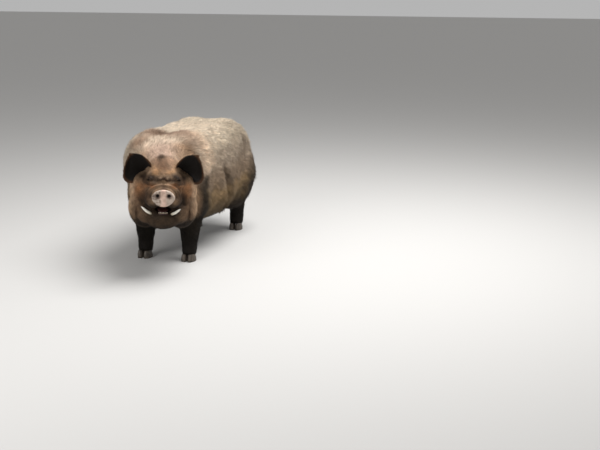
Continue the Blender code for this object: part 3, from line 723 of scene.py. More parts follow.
# Patches of colour on the head, in its own frame: colour, middle, size, strength, and whether it has a twin.
# Some are painted shade, as marked.
FACE_PATCHES = (
    ((208, 180, 160), (-0.015, 0.030, 0.185), (0.072, 0.058, 0.040), 0.9, False),
    ((168, 134, 108), (0.000, -0.050, 0.170), (0.070, 0.040, 0.030), 0.8, False),
    ((84, 65, 50), (-0.012, -0.022, 0.181), (0.024, 0.034, 0.022), 0.85, False),
    ((60, 46, 36), (-0.018, -0.012, 0.181), (0.009, 0.030, 0.020), 0.8, False),
    ((106, 76, 54), (-0.004, -0.092, 0.152), (0.034, 0.040, 0.028), 0.9, False),
    ((186, 144, 104), (0.042, -0.112, 0.138), (0.026, 0.030, 0.011), 0.9, True),
    ((170, 134, 100), (0.062, -0.072, 0.146), (0.020, 0.030, 0.012), 0.7, True),
    ((120, 87, 62), (0.118, -0.104, 0.020), (0.052, 0.060, 0.058), 1.0, True),
    ((158, 108, 68), (0.132, -0.104, 0.038), (0.028, 0.040, 0.026), 0.7, True),
    ((150, 104, 68), (0.112, -0.114, 0.054), (0.022, 0.040, 0.018), 0.7, True),
    ((160, 106, 66), (0.084, -0.138, 0.072), (0.020, 0.030, 0.011), 0.8, True),
    ((168, 114, 74), (0.056, -0.156, 0.083), (0.022, 0.030, 0.009), 0.9, True),
    ((132, 94, 64), (0.116, -0.118, 0.010), (0.020, 0.040, 0.034), 0.6, True),
    ((200, 168, 138), (0.162, -0.070, 0.036), (0.020, 0.060, 0.040), 0.9, True),
    ((206, 174, 142), (0.168, -0.040, -0.050), (0.030, 0.080, 0.090), 0.9, True),
    # Painted shade: the dark band round the deep-set eyes, from the hollow under each ear across the bridge,
    # and along the folds under the eyes
    ((34, 19, 8), (0.064, -0.128, 0.113), (0.034, 0.028, 0.020), 1.0, True),
    ((38, 23, 11), (0.098, -0.086, 0.098), (0.032, 0.050, 0.022), 1.0, True),
    ((54, 37, 26), (0.000, -0.143, 0.107), (0.044, 0.022, 0.009), 1.0, False),
    ((66, 46, 32), (0.084, -0.130, 0.088), (0.030, 0.030, 0.008), 0.8, True),
    ((92, 68, 50), (0.000, -0.185, 0.084), (0.030, 0.020, 0.009), 0.9, False),
    ((90, 68, 50), (0.078, -0.165, 0.032), (0.027, 0.038, 0.044), 1.0, True),
    ((52, 38, 28), (0.092, -0.140, -0.014), (0.032, 0.050, 0.044), 0.95, True),
    ((32, 22, 16), (0.072, -0.160, -0.022), (0.040, 0.050, 0.020), 1.0, True),
    ((18, 12, 10), (0.000, -0.190, -0.014), (0.066, 0.050, 0.024), 1.0, False),
    ((46, 34, 24), (0.000, -0.165, -0.084), (0.098, 0.070, 0.052), 1.0, False),
    ((26, 17, 13), (0.050, -0.190, -0.048), (0.032, 0.040, 0.024), 0.95, True),
    ((36, 28, 21), (0.000, -0.150, -0.135), (0.090, 0.070, 0.036), 1.0, False),
    ((108, 84, 64), (0.122, -0.100, -0.060), (0.034, 0.060, 0.050), 0.9, True),
    # Painted shade: the underside of the jaw and throat, made nearly black where it faces the chest
    ((40, 31, 23), (0.105, -0.080, -0.140), (0.070, 0.080, 0.034), 1.0, True),
    ((26, 20, 15), (0.000, -0.060, -0.165), (0.150, 0.120, 0.040), 1.0, False),
)


# Bands of colour down the body: the colour, the height where it begins and the height where it is full
BODY_BANDS = (
    ((190, 172, 152), 0.600, 0.520),
    ((162, 141, 119), 0.520, 0.420),
    ((160, 134, 100), 0.400, 0.320),
    ((112, 94, 70), 0.310, 0.235),
    ((66, 56, 43), 0.225, 0.170),
)

# Brown patches over the crest of the neck: colour, middle, size and strength
CREST_PATCHES = (
    ((138, 110, 90), (-0.010, -0.220, 0.655), (0.185, 0.085, 0.130), 0.9),
    ((112, 88, 70), (-0.040, -0.195, 0.670), (0.080, 0.050, 0.060), 0.7),
    ((138, 110, 88), (-0.115, -0.345, 0.630), (0.060, 0.070, 0.060), 0.9),
    ((146, 118, 95), (0.148, -0.310, 0.625), (0.045, 0.050, 0.060), 0.8),
)


def in_mouth(h, margin):
    """True for the head's points inside the opening of the mouth, or within the margin of it."""
    away = (h - np.array(MOUTH_AT)) / (np.array(MOUTH_RADII) + margin)
    return (away ** 2).sum(axis=1) < 1


def fold_shade(h):
    """How deep in a fold of the head each point lies, from 0 to 1, which sets how much painted shade the
    fold gets.
    """
    deep = np.zeros(len(h))
    near = (np.abs(h[:, 0]) < 0.2) & (h[:, 1] < 0.0) & (h[:, 2] > -0.2)
    points = h[near]
    points[:, 0] = np.abs(points[:, 0])
    most = np.zeros(len(points))
    for path, depth, width, _ in HEAD_FOLDS:
        if depth > 0:
            away = from_path(points, smooth_path(path, 3))
            most = np.maximum(most, min(1, depth / 0.004) * np.exp(-(away / (0.8 * width)) ** 2))
    deep[near] = most
    return deep


def on_disc(h):
    """How much of each head point belongs to the bare end of the snout, from 0 to 1."""
    return rise(-h[:, 1], 0.2165, 0.2205) * fall(from_disc(h), 1.30, 1.16)


def markings(points):
    """The colour of skin and hair at each point: cream above, browner below, nearly black legs, and painted
    shade and light where marked.
    """
    h = head_points(points)
    x, y, z = points.T
    mottle = ripple(points, 0.16, 1)
    height = z + 0.020 * mottle
    colour = np.tile(tone(238, 221, 197), (len(points), 1))

    def lay(shade, weight):
        colour[:] = colour + (tone(*shade) - colour) * weight[:, None]

    lay((180, 164, 144), rise(z, 0.652, 0.684))
    lay((206, 190, 168), rise(y, 0.10, 0.32))
    for shade, begins, full in BODY_BANDS:
        lay(shade, fall(height, begins, full))
    flank = rise(np.abs(x - MIDDLE_X), 0.12, 0.19)
    wander = 0.024 * ripple(points, 0.11, 8) + 0.012 * ripple(points, 0.05, 9)
    # Painted shade: a dark band down the flank along the crease behind the elbow, stronger on the left side
    flank_crease_shade = np.exp(-((y + wander - 0.085 - 0.60 * (0.385 - z)) / 0.034) ** 2)
    flank_crease_shade *= fall(z, 0.500, 0.400) * rise(z, 0.210, 0.320)
    lay((62, 48, 37), (0.62 - 0.22 * (x < 0)) * flank_crease_shade * flank)
    low = fall(z + 1.6 * wander, 0.520, 0.310)
    rump = rise(y + 2.0 * wander + 0.35 * (0.40 - z), 0.31, 0.45) * low
    lay((56, 47, 39), 0.95 * rump)
    line = np.exp(-((y + wander - 0.373 - 0.25 * (z - 0.527)) / 0.026) ** 2)
    line *= fall(z, 0.620, 0.530) * rise(z, 0.380, 0.480)
    lay((96, 74, 56), (0.50 - 0.25 * (x < 0)) * line * flank)
    # Painted shade: the low front of the chest, under the head, made nearly black
    lay((30, 26, 20), rise(-y, 0.06, 0.18) * fall(z + wander, 0.39, 0.26))
    # Painted shade: a dark band across the neck and shoulder just behind the head, on the left side
    behind = np.exp(-(np.abs(y + wander + 0.225) / 0.060) ** 3) * fall(z + wander, 0.500, 0.395)
    lay((38, 31, 23), 0.92 * behind * rise(x, 0.06, 0.15))
    lay((220, 202, 180), 0.6 * fall(y, 0.28, 0.05) * rise(z, 0.570, 0.640))
    # Painted light: a near-white patch on the left shoulder behind the head
    shoulder = np.exp(-((y + 0.170) / 0.090) ** 2) * rise(z, 0.440, 0.500) * rise(x, 0.05, 0.12)
    lay((248, 222, 194), 0.95 * shoulder)

    head = fall(h[:, 1], 0.16, 0.10) * rise(h[:, 2], -0.22, -0.17)
    for shade, centre, radii, strength in CREST_PATCHES:
        lay(shade, strength * spot(points, centre, radii, 3.0))
    lay((158, 128, 100), head * 0.9)
    lay((196, 171, 152), 0.95 * spot(h, (-0.026, 0.105, 0.190), (0.074, 0.062, 0.050), 3.0))
    ragged = h + 0.007 * np.stack([ripple(h, 0.045, seed) for seed in (11, 12, 13)], axis=1)
    for shade, centre, radii, strength, twin in FACE_PATCHES:
        for side in (1, -1) if twin else (1,):
            lay(shade, strength * spot(ragged, sided(centre, side), radii, 2.6) * head)
    uneven = ripple(h, 0.035, 6) + 0.7 * ripple(h, 0.015, 7)
    # The head's colour varies at random, and is darkened in its folds as painted shade
    colour *= (1 + head * (0.16 * uneven - 0.50 * fold_shade(h)))[:, None]

    disc = on_disc(h)
    side = rise(np.abs(h[:, 0] + 0.004 * ripple(h, 0.03, 3)), 0.008, 0.024)
    lay((250, 214, 194), disc)
    lay((222, 204, 188), disc * 0.9 * side)
    patches = ripple(h, 0.014, 4) + 0.6 * ripple(h, 0.007, 5) - 0.8 * rise(h[:, 0], -0.02, 0.02)
    lay((92, 72, 62), disc * 0.8 * side * rise(patches, -0.45, 0.65))
    for hole in (1, -1):
        middle = sided(NOSTRIL_AT, hole)
        lay((92, 66, 56), disc * 0.8 * spot(h, middle, (0.0150, 0.03, 0.0140), 4.0))
        # Painted shade: each nostril hole made nearly black
        lay((20, 11, 10), disc * spot(h, middle, (0.0092, 0.03, 0.0086), 12.0))
    # Painted shade: the inside of the mouth made nearly black
    lay((24, 12, 11), in_mouth(h, 0.0025).astype(float))
    lay((30, 25, 20), fall(z, 0.190, 0.130))
    return np.clip(colour * (1 + 0.10 * ripple(points, 0.05, 2))[:, None], 0.002, 0.95)


# The coat

def round_barrel(points):
    """The angle of each point round the body's long axis, 0 at the top."""
    return np.arctan2(points[:, 0] - MIDDLE_X, points[:, 2] - AXIS_HEIGHT)


def unit(vectors):
    return vectors / np.maximum(np.linalg.norm(vectors, axis=1), 1e-9)[:, None]


def scatter(obj, count, weigh, chance):
    """Roots spread evenly over a surface, more where weigh says so: their places and their normals."""
    mesh = obj.data
    mesh.calc_loop_triangles()
    corners = np.empty(len(mesh.loop_triangles) * 3, np.int32)
    mesh.loop_triangles.foreach_get("vertices", corners)
    corners = corners.reshape(-1, 3)
    points = points_of(obj)
    normals = normals_of(obj)
    a, b, c = (points[corners[:, k]] for k in range(3))
    area = np.linalg.norm(np.cross(b - a, c - a), axis=1) / 2
    slices = np.floor((a[:, 1] + 1) / 0.02) * 1000
    order = np.argsort(slices + np.arctan2(a[:, 0], a[:, 2] - AXIS_HEIGHT))
    weight = (area * weigh((a + b + c) / 3, unit(np.cross(b - a, c - a))))[order]
    total = np.cumsum(weight)
    picks = order[np.searchsorted(total, (np.arange(count) + chance.random(count)) / count * total[-1])]
    u, v = chance.random((2, count))
    fold = u + v > 1
    u[fold], v[fold] = 1 - u[fold], 1 - v[fold]
    shares = np.stack([1 - u - v, u, v], axis=1)
    places = (points[corners[picks]] * shares[:, :, None]).sum(axis=1)
    facing = unit((normals[corners[picks]] * shares[:, :, None]).sum(axis=1))
    return places, facing


def tuft_mesh(roots, facing, lie, length, width, lift, curl, colours, chart, stations):
    """Thin tapered tufts, three sided and closed, bent along their lie, as one mesh."""
    count = len(roots)
    shares = np.array([share for share, _ in stations] + [1.0])
    widths = np.array([wide for _, wide in stations])
    across = unit(np.cross(lie, facing))
    rings = []
    for share in shares:
        climb = lift * length * share * (1 - TUFT_BEND * share) - ROOT_DEPTH * (1 - share) ** 2
        rings.append(roots + lie * (length * share * (1 - 0.10 * share))[:, None] + facing * climb[:, None]
                     + across * (curl * length * share ** 2)[:, None])
    verts = []
    for start, end, wide in zip(rings, rings[1:], widths):
        out = unit(np.cross(across, unit(end - start)))
        out *= np.sign((out * facing).sum(axis=1))[:, None]
        half = (width * wide / 2)[:, None]
        verts += [start + across * half, start - across * half, start + out * half * TUFT_THICKNESS]
    verts.append(rings[-1])
    verts = np.stack(verts, axis=1)
    each = verts.shape[1]

    faces = [(0, 2, 1)]
    for low in range(0, 3 * len(widths) - 3, 3):
        for a, b in ((0, 1), (1, 2), (2, 0)):
            faces += [(low + a, low + b, low + 3 + b), (low + a, low + 3 + b, low + 3 + a)]
    last = 3 * (len(widths) - 1)
    faces += [(last + a, last + b, each - 1) for a, b in ((0, 1), (1, 2), (2, 0))]
    index = (np.array(faces)[None] + (np.arange(count) * each)[:, None, None]).reshape(-1)

    mesh = bpy.data.meshes.new("coat")
    mesh.vertices.add(count * each)
    mesh.vertices.foreach_set("co", verts.astype(np.float32).reshape(-1))
    mesh.loops.add(len(index))
    mesh.loops.foreach_set("vertex_index", index.astype(np.int32))
    mesh.polygons.add(len(index) // 3)
    mesh.polygons.foreach_set("loop_start", np.arange(0, len(index), 3, dtype=np.int32))
    mesh.update(calc_edges=True)
    mesh.polygons.foreach_set("use_smooth", np.ones(len(index) // 3, bool))

    corner_share = np.repeat(shares, [3] * len(widths) + [1])
    corner_side = np.array([0.0, 1.0, 0.5] * len(widths) + [0.5])
    patch = np.stack([corner_side, corner_share], axis=1) * MAP_PATCH - MAP_PATCH / 2
    places = (chart[:, None] + patch[None]).reshape(-1, 2)
    layer = mesh.uv_layers.new(name="OFBake")
    layer.data.foreach_set("uv", places[index].astype(np.float32).reshape(-1))

    obj = add_object("coat", mesh)
    fade = ROOT_SHADE + TIP_BRIGHTER * corner_share
    colour_points(obj, np.clip(colours[:, None] * fade[None, :, None], 0, 1).reshape(-1, 3))
    return obj


def coat_piece(name, tufts, chart, stations, material, slot, group=slice(None)):
    """One piece of the coat, made of all the tufts or of one group of them."""
    chosen = {key: values[group] for key, values in tufts.items()}
    piece = tuft_mesh(**chosen, chart=filled(chart[group]), stations=stations)
    finish_piece(piece, f"coat_{name}", material, slot)


def filled(chart):
    """The chart stretched to fill the square of a piece's own map."""
    low, high = chart.min(axis=0), chart.max(axis=0)
    return 0.01 + 0.98 * (chart - low) / np.maximum(high - low, 1e-6)


def body_chart(points):
    """The body unrolled round its long axis."""
    return np.stack([round_barrel(points), points[:, 1] * 3], axis=1)


def head_chart(points):
    """The head opened out flat from the snout backwards."""
    h = unit(head_points(points) - np.array((0, 0.02, 0.01)))
    bearing = np.arctan2(h[:, 2], h[:, 0])
    spread = np.arccos(np.clip(-h[:, 1], -1, 1))
    return np.stack([np.cos(bearing) * spread, np.sin(bearing) * spread], axis=1)


def leg_chart(points):
    """Each leg unrolled round its own shin, side by side."""
    x, y = points[:, 0] - MIDDLE_X, points[:, 1] - MIDDLE_Y
    hind = y > 0.1
    turn = np.arctan2(np.abs(x) - LEG_X, y - np.where(hind, 0.455, -0.252))
    place = (x > 0) * 2 + hind
    return np.stack([turn / 6.4 + place, points[:, 2] * 4], axis=1)


def is_head(points):
    """True for the part of the skin that the short face coat covers."""
    h = head_points(points)
    return (h[:, 1] + 0.014 * ripple(points, 0.018, 61) < 0.070) & (h[:, 2] > -0.21)


def is_leg(points):
    """True for the lower legs."""
    x, y = points[:, 0] - MIDDLE_X, points[:, 1] - MIDDLE_Y
    along = (np.abs(y + 0.25) < 0.10) | (np.abs(y - 0.45) < 0.12)
    return (points[:, 2] < 0.185) & along & (np.abs(np.abs(x) - LEG_X) < 0.075)


def is_tail(points):
    return (points[:, 1] > 0.655) & (np.abs(points[:, 0] + 0.018) < 0.045) & (points[:, 2] < 0.575)


def face_room(h):
    """0 where no hair grows on the head: the bare snout, the mouth and the open eyes."""
    room = 1 - np.clip(on_disc(h) * 3, 0, 1)
    room *= ~in_mouth(h, 0.0035)
    for side in (1, -1):
        away = np.linalg.norm(h - np.array(sided(EYE_AT, side)), axis=1)
        room *= rise(away, EYE_RADIUS * 1.10, EYE_RADIUS * 1.30)
    return room


def laid(way, facing, points, sway, chance):
    """The lie of each tuft: along its way, flat to the skin, and parted into drifting clumps."""
    way = np.broadcast_to(way, facing.shape)
    drift = np.stack([ripple(points, 0.045, seed) for seed in (31, 32, 33)], axis=1)
    loose = chance.normal(scale=0.13, size=way.shape)
    way = unit(way) + drift * sway + loose
    return unit(way - facing * (way * facing).sum(axis=1)[:, None])


def round_stem(facing, roots, stretch):
    """A chart unrolled round an upright stem."""
    return np.stack([np.arctan2(facing[:, 0], facing[:, 1]), roots[:, 2] * stretch], axis=1)


def split(chosen, order, most):
    """The chosen tufts in groups of no more than this many, in order along the body."""
    ranked = chosen[np.argsort(order[chosen], kind="stable")]
    return np.array_split(ranked, math.ceil(len(ranked) / most))


# Where the rings of a tuft sit along its length, and how wide each is
BODY_STATIONS = ((0.0, 0.65), (0.48, 1.0))
UNDER_STATIONS = ((0.0, 1.0),)
LONG_STATIONS = ((0.0, 0.60), (0.36, 1.0), (0.72, 0.72))
FINE_STATIONS = ((0.0, 0.75), (0.5, 0.9))


def hair_length(points):
    """Short on the snout, longer over the forehead and cheeks, and longest from the neck backwards."""
    h = head_points(points)
    length = np.interp(h[:, 1], (-0.20, -0.12, -0.05, 0.02, 0.09, 0.17),
                       (0.006, 0.009, 0.017, 0.033, 0.046, 0.056))
    jowl = rise(-h[:, 2], 0.03, 0.09)
    length += np.maximum(0, 0.014 + 0.012 * rise(h[:, 1], -0.17, -0.10) - length) * jowl
    chest = rise(-h[:, 2], 0.17, 0.23)
    return length + (0.036 - length) * chest


def hair_width(length):
    return np.interp(length, (0.006, 0.015, 0.056), (0.0013, 0.0018, 0.0026))


def hair_flow(points, facing):
    """The way the coat runs: backwards on top, slanting down the flanks, and down the rump and legs."""
    side = np.sin(round_barrel(points))
    way = np.stack([0.25 * side, np.ones(len(points)), -(0.10 + 0.80 * np.abs(side))], axis=1)
    chest = rise(-points[:, 1], 0.26, 0.36) * fall(points[:, 2], 0.50, 0.38)
    down = np.maximum(rise(points[:, 1], 0.42, 0.60), chest)
    low = fall(points[:, 2], 0.30, 0.22) * fall(np.abs(facing[:, 2]), 0.8, 0.5)
    down = np.maximum(down, low)
    return way + (np.array((0, 0.30, -1.1)) - way) * down[:, None]


def streaks(points):
    """Long uneven streaks that follow the flow of the coat."""
    angle = round_barrel(points)
    arc = 0.26 * np.abs(angle)
    y = points[:, 1]
    return ripple(np.stack([(arc - 0.6 * y) * 4, y + 0.6 * arc, 0.3 * np.sign(angle)], axis=1), 0.12, 51)


def grow_body(skin, material, chance, count, under):
    """The long outer coat, or the shorter coat under it that fills its gaps."""
    def weigh(points, facing):
        coat = ~is_head(points) & ~is_leg(points) & ~is_tail(points)
        belly = rise(-facing[:, 2], 0.55, 0.85) * fall(points[:, 2], 0.30, 0.22)
        return coat * (1 - 0.55 * belly) * (1 + 0.35 * rise(-points[:, 1], 0.15, 0.30))

    roots, facing = scatter(skin, count, weigh, chance)
    lie = laid(hair_flow(roots, facing), facing, roots, 0.13, chance)
    shag = ripple(roots, 0.07, 41)
    length = hair_length(roots) * (1 + 0.14 * shag) * chance.uniform(0.72, 1.20, count) * (1 - 0.3 * under)
    width = hair_width(length) * chance.uniform(0.75, 1.25, count) * (1 + 0.3 * under)
    h = head_points(roots)
    crest = np.exp(-((h[:, 1] - 0.19) / 0.07) ** 2) * rise(h[:, 2], 0.10, 0.17)
    rump = rise(roots[:, 1], 0.30, 0.45)
    lift = 0.22 + 0.06 * shag + chance.normal(scale=0.045, size=count) + 0.28 * crest + 0.14 * rump
    loose = chance.random(count) < LOOSE_TUFTS * (1 - under)
    lift[loose] += 0.20
    curl = chance.normal(scale=0.07, size=count)
    seen = roots + lie * (SEEN_SHARE * length)[:, None]
    shade = 1 + 0.12 * streaks(roots) + chance.normal(scale=0.08, size=count)
    colours = markings(seen) * shade[:, None]
    colours[chance.random(count) < DARK_TUFTS] *= DARK_TUFT_SHADE
    tufts = dict(roots=roots, facing=facing, lie=lie, length=length, width=width,
                 lift=np.clip(lift, 0.08, 0.75), curl=curl, colours=colours)
    kind, stations, most = "body", BODY_STATIONS, BODY_PIECE_TUFTS
    if under:
        kind, stations, most = "under", UNDER_STATIONS, UNDER_PIECE_TUFTS
    chart = body_chart(roots)
    for name, side in SIDES.items():
        chosen = np.flatnonzero((roots[:, 0] - MIDDLE_X) * side > 0)
        for place, group in enumerate(split(chosen, roots[:, 1], most), 1):
            coat_piece(f"{kind}_{name}_{place}", tufts, chart, stations, material, "coat", group)


# How uneven each part of the coat is: in length, in width, in lift and its limits, in curl and in shade
UNEVEN = {
    "face": ((0.75, 1.25), (0.75, 1.25), 0.06, (0.08, 0.6), 0.08, 0.12),
    "legs": ((0.75, 1.25), (0.7, 1.3), 0.07, (0.08, 0.5), 0.10, 0.15),
    "tail": ((0.75, 1.2), (0.7, 1.3), 0.06, (0.08, 0.4), 0.12, 0.15),
    "ear": ((0.7, 1.25), (0.7, 1.3), 0.06, (0.05, 0.4), 0.10, 0.18),
}


def uneven_tufts(kind, roots, facing, lie, length, lift, chance, width=None, colours=None):
    """Tufts that each differ a little. Their width and colour come from the body's unless they are given."""
    lengths, widths, lifts, limits, curls, shades = UNEVEN[kind]
    count = len(roots)
    length = length * chance.uniform(*lengths, count)
    if width is None:
        width = hair_width(length)
    width = width * chance.uniform(*widths, count)
    lift = np.clip(lift + chance.normal(scale=lifts, size=count), *limits)
    curl = chance.normal(scale=curls, size=count)
    if colours is None:
        colours = markings(roots + lie * (SEEN_SHARE * length)[:, None])
    colours = colours * (1 + chance.normal(scale=shades, size=count))[:, None]
    return dict(roots=roots, facing=facing, lie=lie, length=length, width=width, lift=lift, curl=curl,
                colours=colours)


def grow_face(skin, material, chance):
    def weigh(points, facing):
        return is_head(points) * face_room(head_points(points)) * (0.012 / hair_length(points)) ** 0.45

    roots, facing = scatter(skin, FACE_TUFTS, weigh, chance)
    h = head_points(roots)
    top = rise(h[:, 2], 0.02, 0.12)
    outwards = (0.35 + 0.5 * rise(-h[:, 1], 0.09, 0.15)) * rise(np.abs(h[:, 0]), 0.0, 0.03)
    way = np.stack([np.sign(h[:, 0]) * outwards, np.ones(len(h)), 0.45 * top - 0.95 * (1 - top)], axis=1)
    lie = laid(way @ HEAD_AXES.T, facing, roots, 0.16, chance)
    length = hair_length(roots) * (1 + 0.15 * ripple(roots, 0.05, 42))
    lift = 0.24 + 0.06 * ripple(roots, 0.04, 43)
    tufts = uneven_tufts("face", roots, facing, lie, length, lift, chance)
    chart = head_chart(roots)
    for name, side in SIDES.items():
        group = np.flatnonzero(h[:, 0] * side > 0)
        coat_piece(f"face_{name}", tufts, chart, FINE_STATIONS, material, "face", group)


def grow_legs(skin, material, chance):
    def weigh(points, facing):
        return is_leg(points) & (points[:, 2] > 0.036)

    roots, facing = scatter(skin, LEG_TUFTS, weigh, chance)
    lie = laid((0.0, 0.25, -1.0), facing, roots, 0.22, chance)
    high = rise(roots[:, 2], 0.05, 0.18)
    tufts = uneven_tufts("legs", roots, facing, lie, 0.014 + 0.020 * high, 0.24, chance,
                         0.0021 + 0.0008 * high, markings(roots))
    above_ground = (roots[:, 2] - 0.004) / 0.9
    low = tufts["length"] > above_ground
    tufts["length"][low] = np.maximum(0.006, above_ground[low])
    coat_piece("legs", tufts, leg_chart(roots), FINE_STATIONS, material, "leg")


def grow_tail(skin, material, chance):
    def weigh(points, facing):
        return is_tail(points) * (1 + 5.0 * (points[:, 2] < 0.40))

    roots, facing = scatter(skin, TAIL_TUFTS, weigh, chance)
    low = fall(roots[:, 2], 0.42, 0.36)
    lie = laid((0.0, 0.12, -1.0), facing, roots, 0.15, chance)
    tufts = uneven_tufts("tail", roots, facing, lie, 0.022 + 0.052 * low, 0.22, chance,
                         0.0026 + 0.0008 * low, tone(120, 98, 76) * (1 - 0.35 * low)[:, None])
    coat_piece("tail", tufts, round_stem(facing, roots, 8), LONG_STATIONS, material, "coat")


# Ears

def ear_lobe(clear):
    """How far the ear reaches below its axis, at each share of its length."""
    return EAR_LOBE * np.maximum(0.0, np.sin(math.pi * (0.20 + 0.80 * clear))) ** 0.8


def ear_shape(across, t):
    """A point of the ear's leaf in the head's frame, from its share across and its share of the length."""
    clear = np.maximum(0.0, t)
    lobe = ear_lobe(clear) + EAR_EDGE
    upper = EAR_UPPER_HALF * (1 - clear ** 2.8) + EAR_EDGE
    width = np.where(across > 0, lobe, upper) * (1 + 1.2 * np.minimum(0.0, t))
    cup = EAR_CUP * (1 - across ** 2) * (1.2 - 0.9 * clear)
    cup -= EAR_CURL * np.maximum(0.0, across) ** 2 * (1 - clear) ** 1.5
    ripples = 0.0016 * np.sin(9 * across + 5 * t) * clear
    return (np.array(EAR_BASE)[None] + np.array(EAR_DOWN)[None] * (across * width)[:, None]
            + np.array(EAR_UP)[None] * (EAR_LENGTH * t)[:, None]
            + np.stack([0 * t, cup + ripples, 0 * t], axis=1))


def ear_shades(side, points):
    """The ear's colour at each point: nearly black, and brown along its lower edge and tip."""
    h = head_points(points)
    h[:, 0] *= side
    up, down, _ = np.linalg.solve(np.array((EAR_UP, EAR_DOWN, (0, 1, 0))).T, (h - np.array(EAR_BASE)).T)
    clear = np.clip(up / EAR_LENGTH, 0, 1)
    across = np.where(down > 0, down / np.maximum(ear_lobe(clear), 0.01), -down / EAR_UPPER_HALF)
    rim = np.maximum(rise(across, 0.84, 1.0) * 0.8, rise(clear, 0.82, 1.0))[:, None]
    return tone(24, 20, 17) + (tone(92, 64, 44) - tone(24, 20, 17)) * rim


def make_ear(side, name, material, coat, chance):
    bpy.ops.mesh.primitive_grid_add(x_subdivisions=26, y_subdivisions=30, size=2)
    obj = bpy.context.object
    plan = points_of(obj)
    across, t = plan[:, 0], plan[:, 1] * (0.5 + EAR_ROOT / 2) + 0.5 - EAR_ROOT / 2
    place_points(obj, ear_shape(across, t))
    changed(obj, "SOLIDIFY", thickness=EAR_THICKNESS, offset=0.0)
    changed(obj, "BEVEL", width=0.0015, segments=2, limit_method="ANGLE")
    applied(obj)
    obj.data.transform(HEAD @ Matrix.Diagonal((side, 1, 1, 1)))
    face_outwards(obj)
    colour_points(obj, ear_shades(side, points_of(obj)))
    finish_piece(obj, f"ear_{name}_skin", material, "ear", f"ear_{name}")

    def weigh(points, facing):
        return 1 - 0.3 * (facing @ HEAD_AXES[:, 1] < -0.3)

    roots, facing = scatter(obj, EAR_TUFTS, weigh, chance)
    lie = laid(HEAD_AXES @ sided(EAR_UP, side), facing, roots, 0.20, chance)
    tufts = uneven_tufts("ear", roots, facing, lie, 0.011, 0.16, chance, 0.0018, ear_shades(side, roots))
    h = head_points(roots)
    chart = np.stack([h[:, 0] * side + 0.3 * (facing @ HEAD_AXES[:, 1] < 0), h[:, 2]], axis=1)
    coat_piece(f"ear_{name}", tufts, chart, FINE_STATIONS, coat, "ear")


# Eyes, tusks, teeth, tongue, wattles and feet

def make_eye(side, name, material):
    """A wet dark eyeball with a slightly raised clear front."""
    obj = ball((0, 0, 0), (1, 1, 1), turn=(90, 0, 0), segments=48)
    points = points_of(obj)
    turn = np.arccos(np.clip(-points[:, 1], -1, 1))
    points *= (1 + 0.055 * fall(turn, 0.62, 0.30))[:, None] * EYE_RADIUS * 0.985
    place_points(obj, points)
    number(obj, "along", turn / math.pi)
    obj.data.transform(eye_frame(side))
    finish_piece(obj, f"eyeball_{name}", material, "eye", f"eye_{name}")


def make_tusk(side, name, material):
    """A lower canine that leaves the lip and points out and up; the one on the right side is longer."""
    points = [(0.036, -0.146, -0.084), (0.044, -0.168, -0.064), (0.064, -0.175, -0.050),
              (0.086, -0.169, -0.034)]
    if side < 0:
        points = [(0.050, -0.140, -0.086), (0.060, -0.164, -0.064), (0.082, -0.172, -0.046),
                  (0.108, -0.162, -0.026)]
    path = [HEAD @ Vector(sided(p, side)) for p in smooth_path(points, 9)]
    share = np.linspace(0, 1, len(path))
    radii = TUSK_RADIUS * (1 - share ** 8) + 0.0006
    tusk = tube(path, list(radii), "tusk", resolution=5)
    finish_piece(tusk, f"tusk_{name}_ivory", material, "ivory", f"tusk_{name}")


# How far each worn tooth stands aside, its half height and its lean in degrees
TOOTH_WEAR = ((0.0004, 0.0052, -7), (-0.0002, 0.0078, -2), (0.0002, 0.0066, 2), (-0.0002, 0.0080, -2),
              (0.0003, 0.0058, 3), (-0.0004, 0.0068, 6))


def make_teeth(material):
    """The row of low front teeth in their gum."""
    pieces = [ball((0, -0.174, -0.062), (0.028, 0.010, 0.006), HEAD, segments=24)]
    for count, (shift, tall, lean) in enumerate(TOOTH_WEAR):
        x = (count - (len(TOOTH_WEAR) - 1) / 2) * TOOTH_SPACING + shift
        root = (x, -0.180 + abs(x) * 0.20, -0.055)
        pieces.append(ball(root, (0.0038, 0.0030, tall), HEAD, (24, lean, 0), 16))
    teeth = fused(pieces, TOOTH_VOXEL, 2)
    h = head_points(points_of(teeth))
    number(teeth, "along", np.clip((h[:, 2] + 0.062) / 0.016, 0, 1))
    finish_piece(teeth, "teeth_row", material, "ivory", "teeth_lower")


def make_tongue(material):
    tongue = ball((0, -0.144, -0.0475), (0.027, 0.026, 0.0055), HEAD, (14, 0, 0), 40)
    h = head_points(points_of(tongue))
    dent = 0.0016 * np.exp(-(h[:, 0] / 0.004) ** 2) * (h[:, 2] > -0.048)
    place_points(tongue, points_of(tongue) - dent[:, None] * HEAD_AXES[:, 2])
    number(tongue, "along", np.clip((-0.118 - h[:, 1]) / 0.052, 0, 1))
    finish_piece(tongue, "tongue_soft", material, "tongue", "tongue")


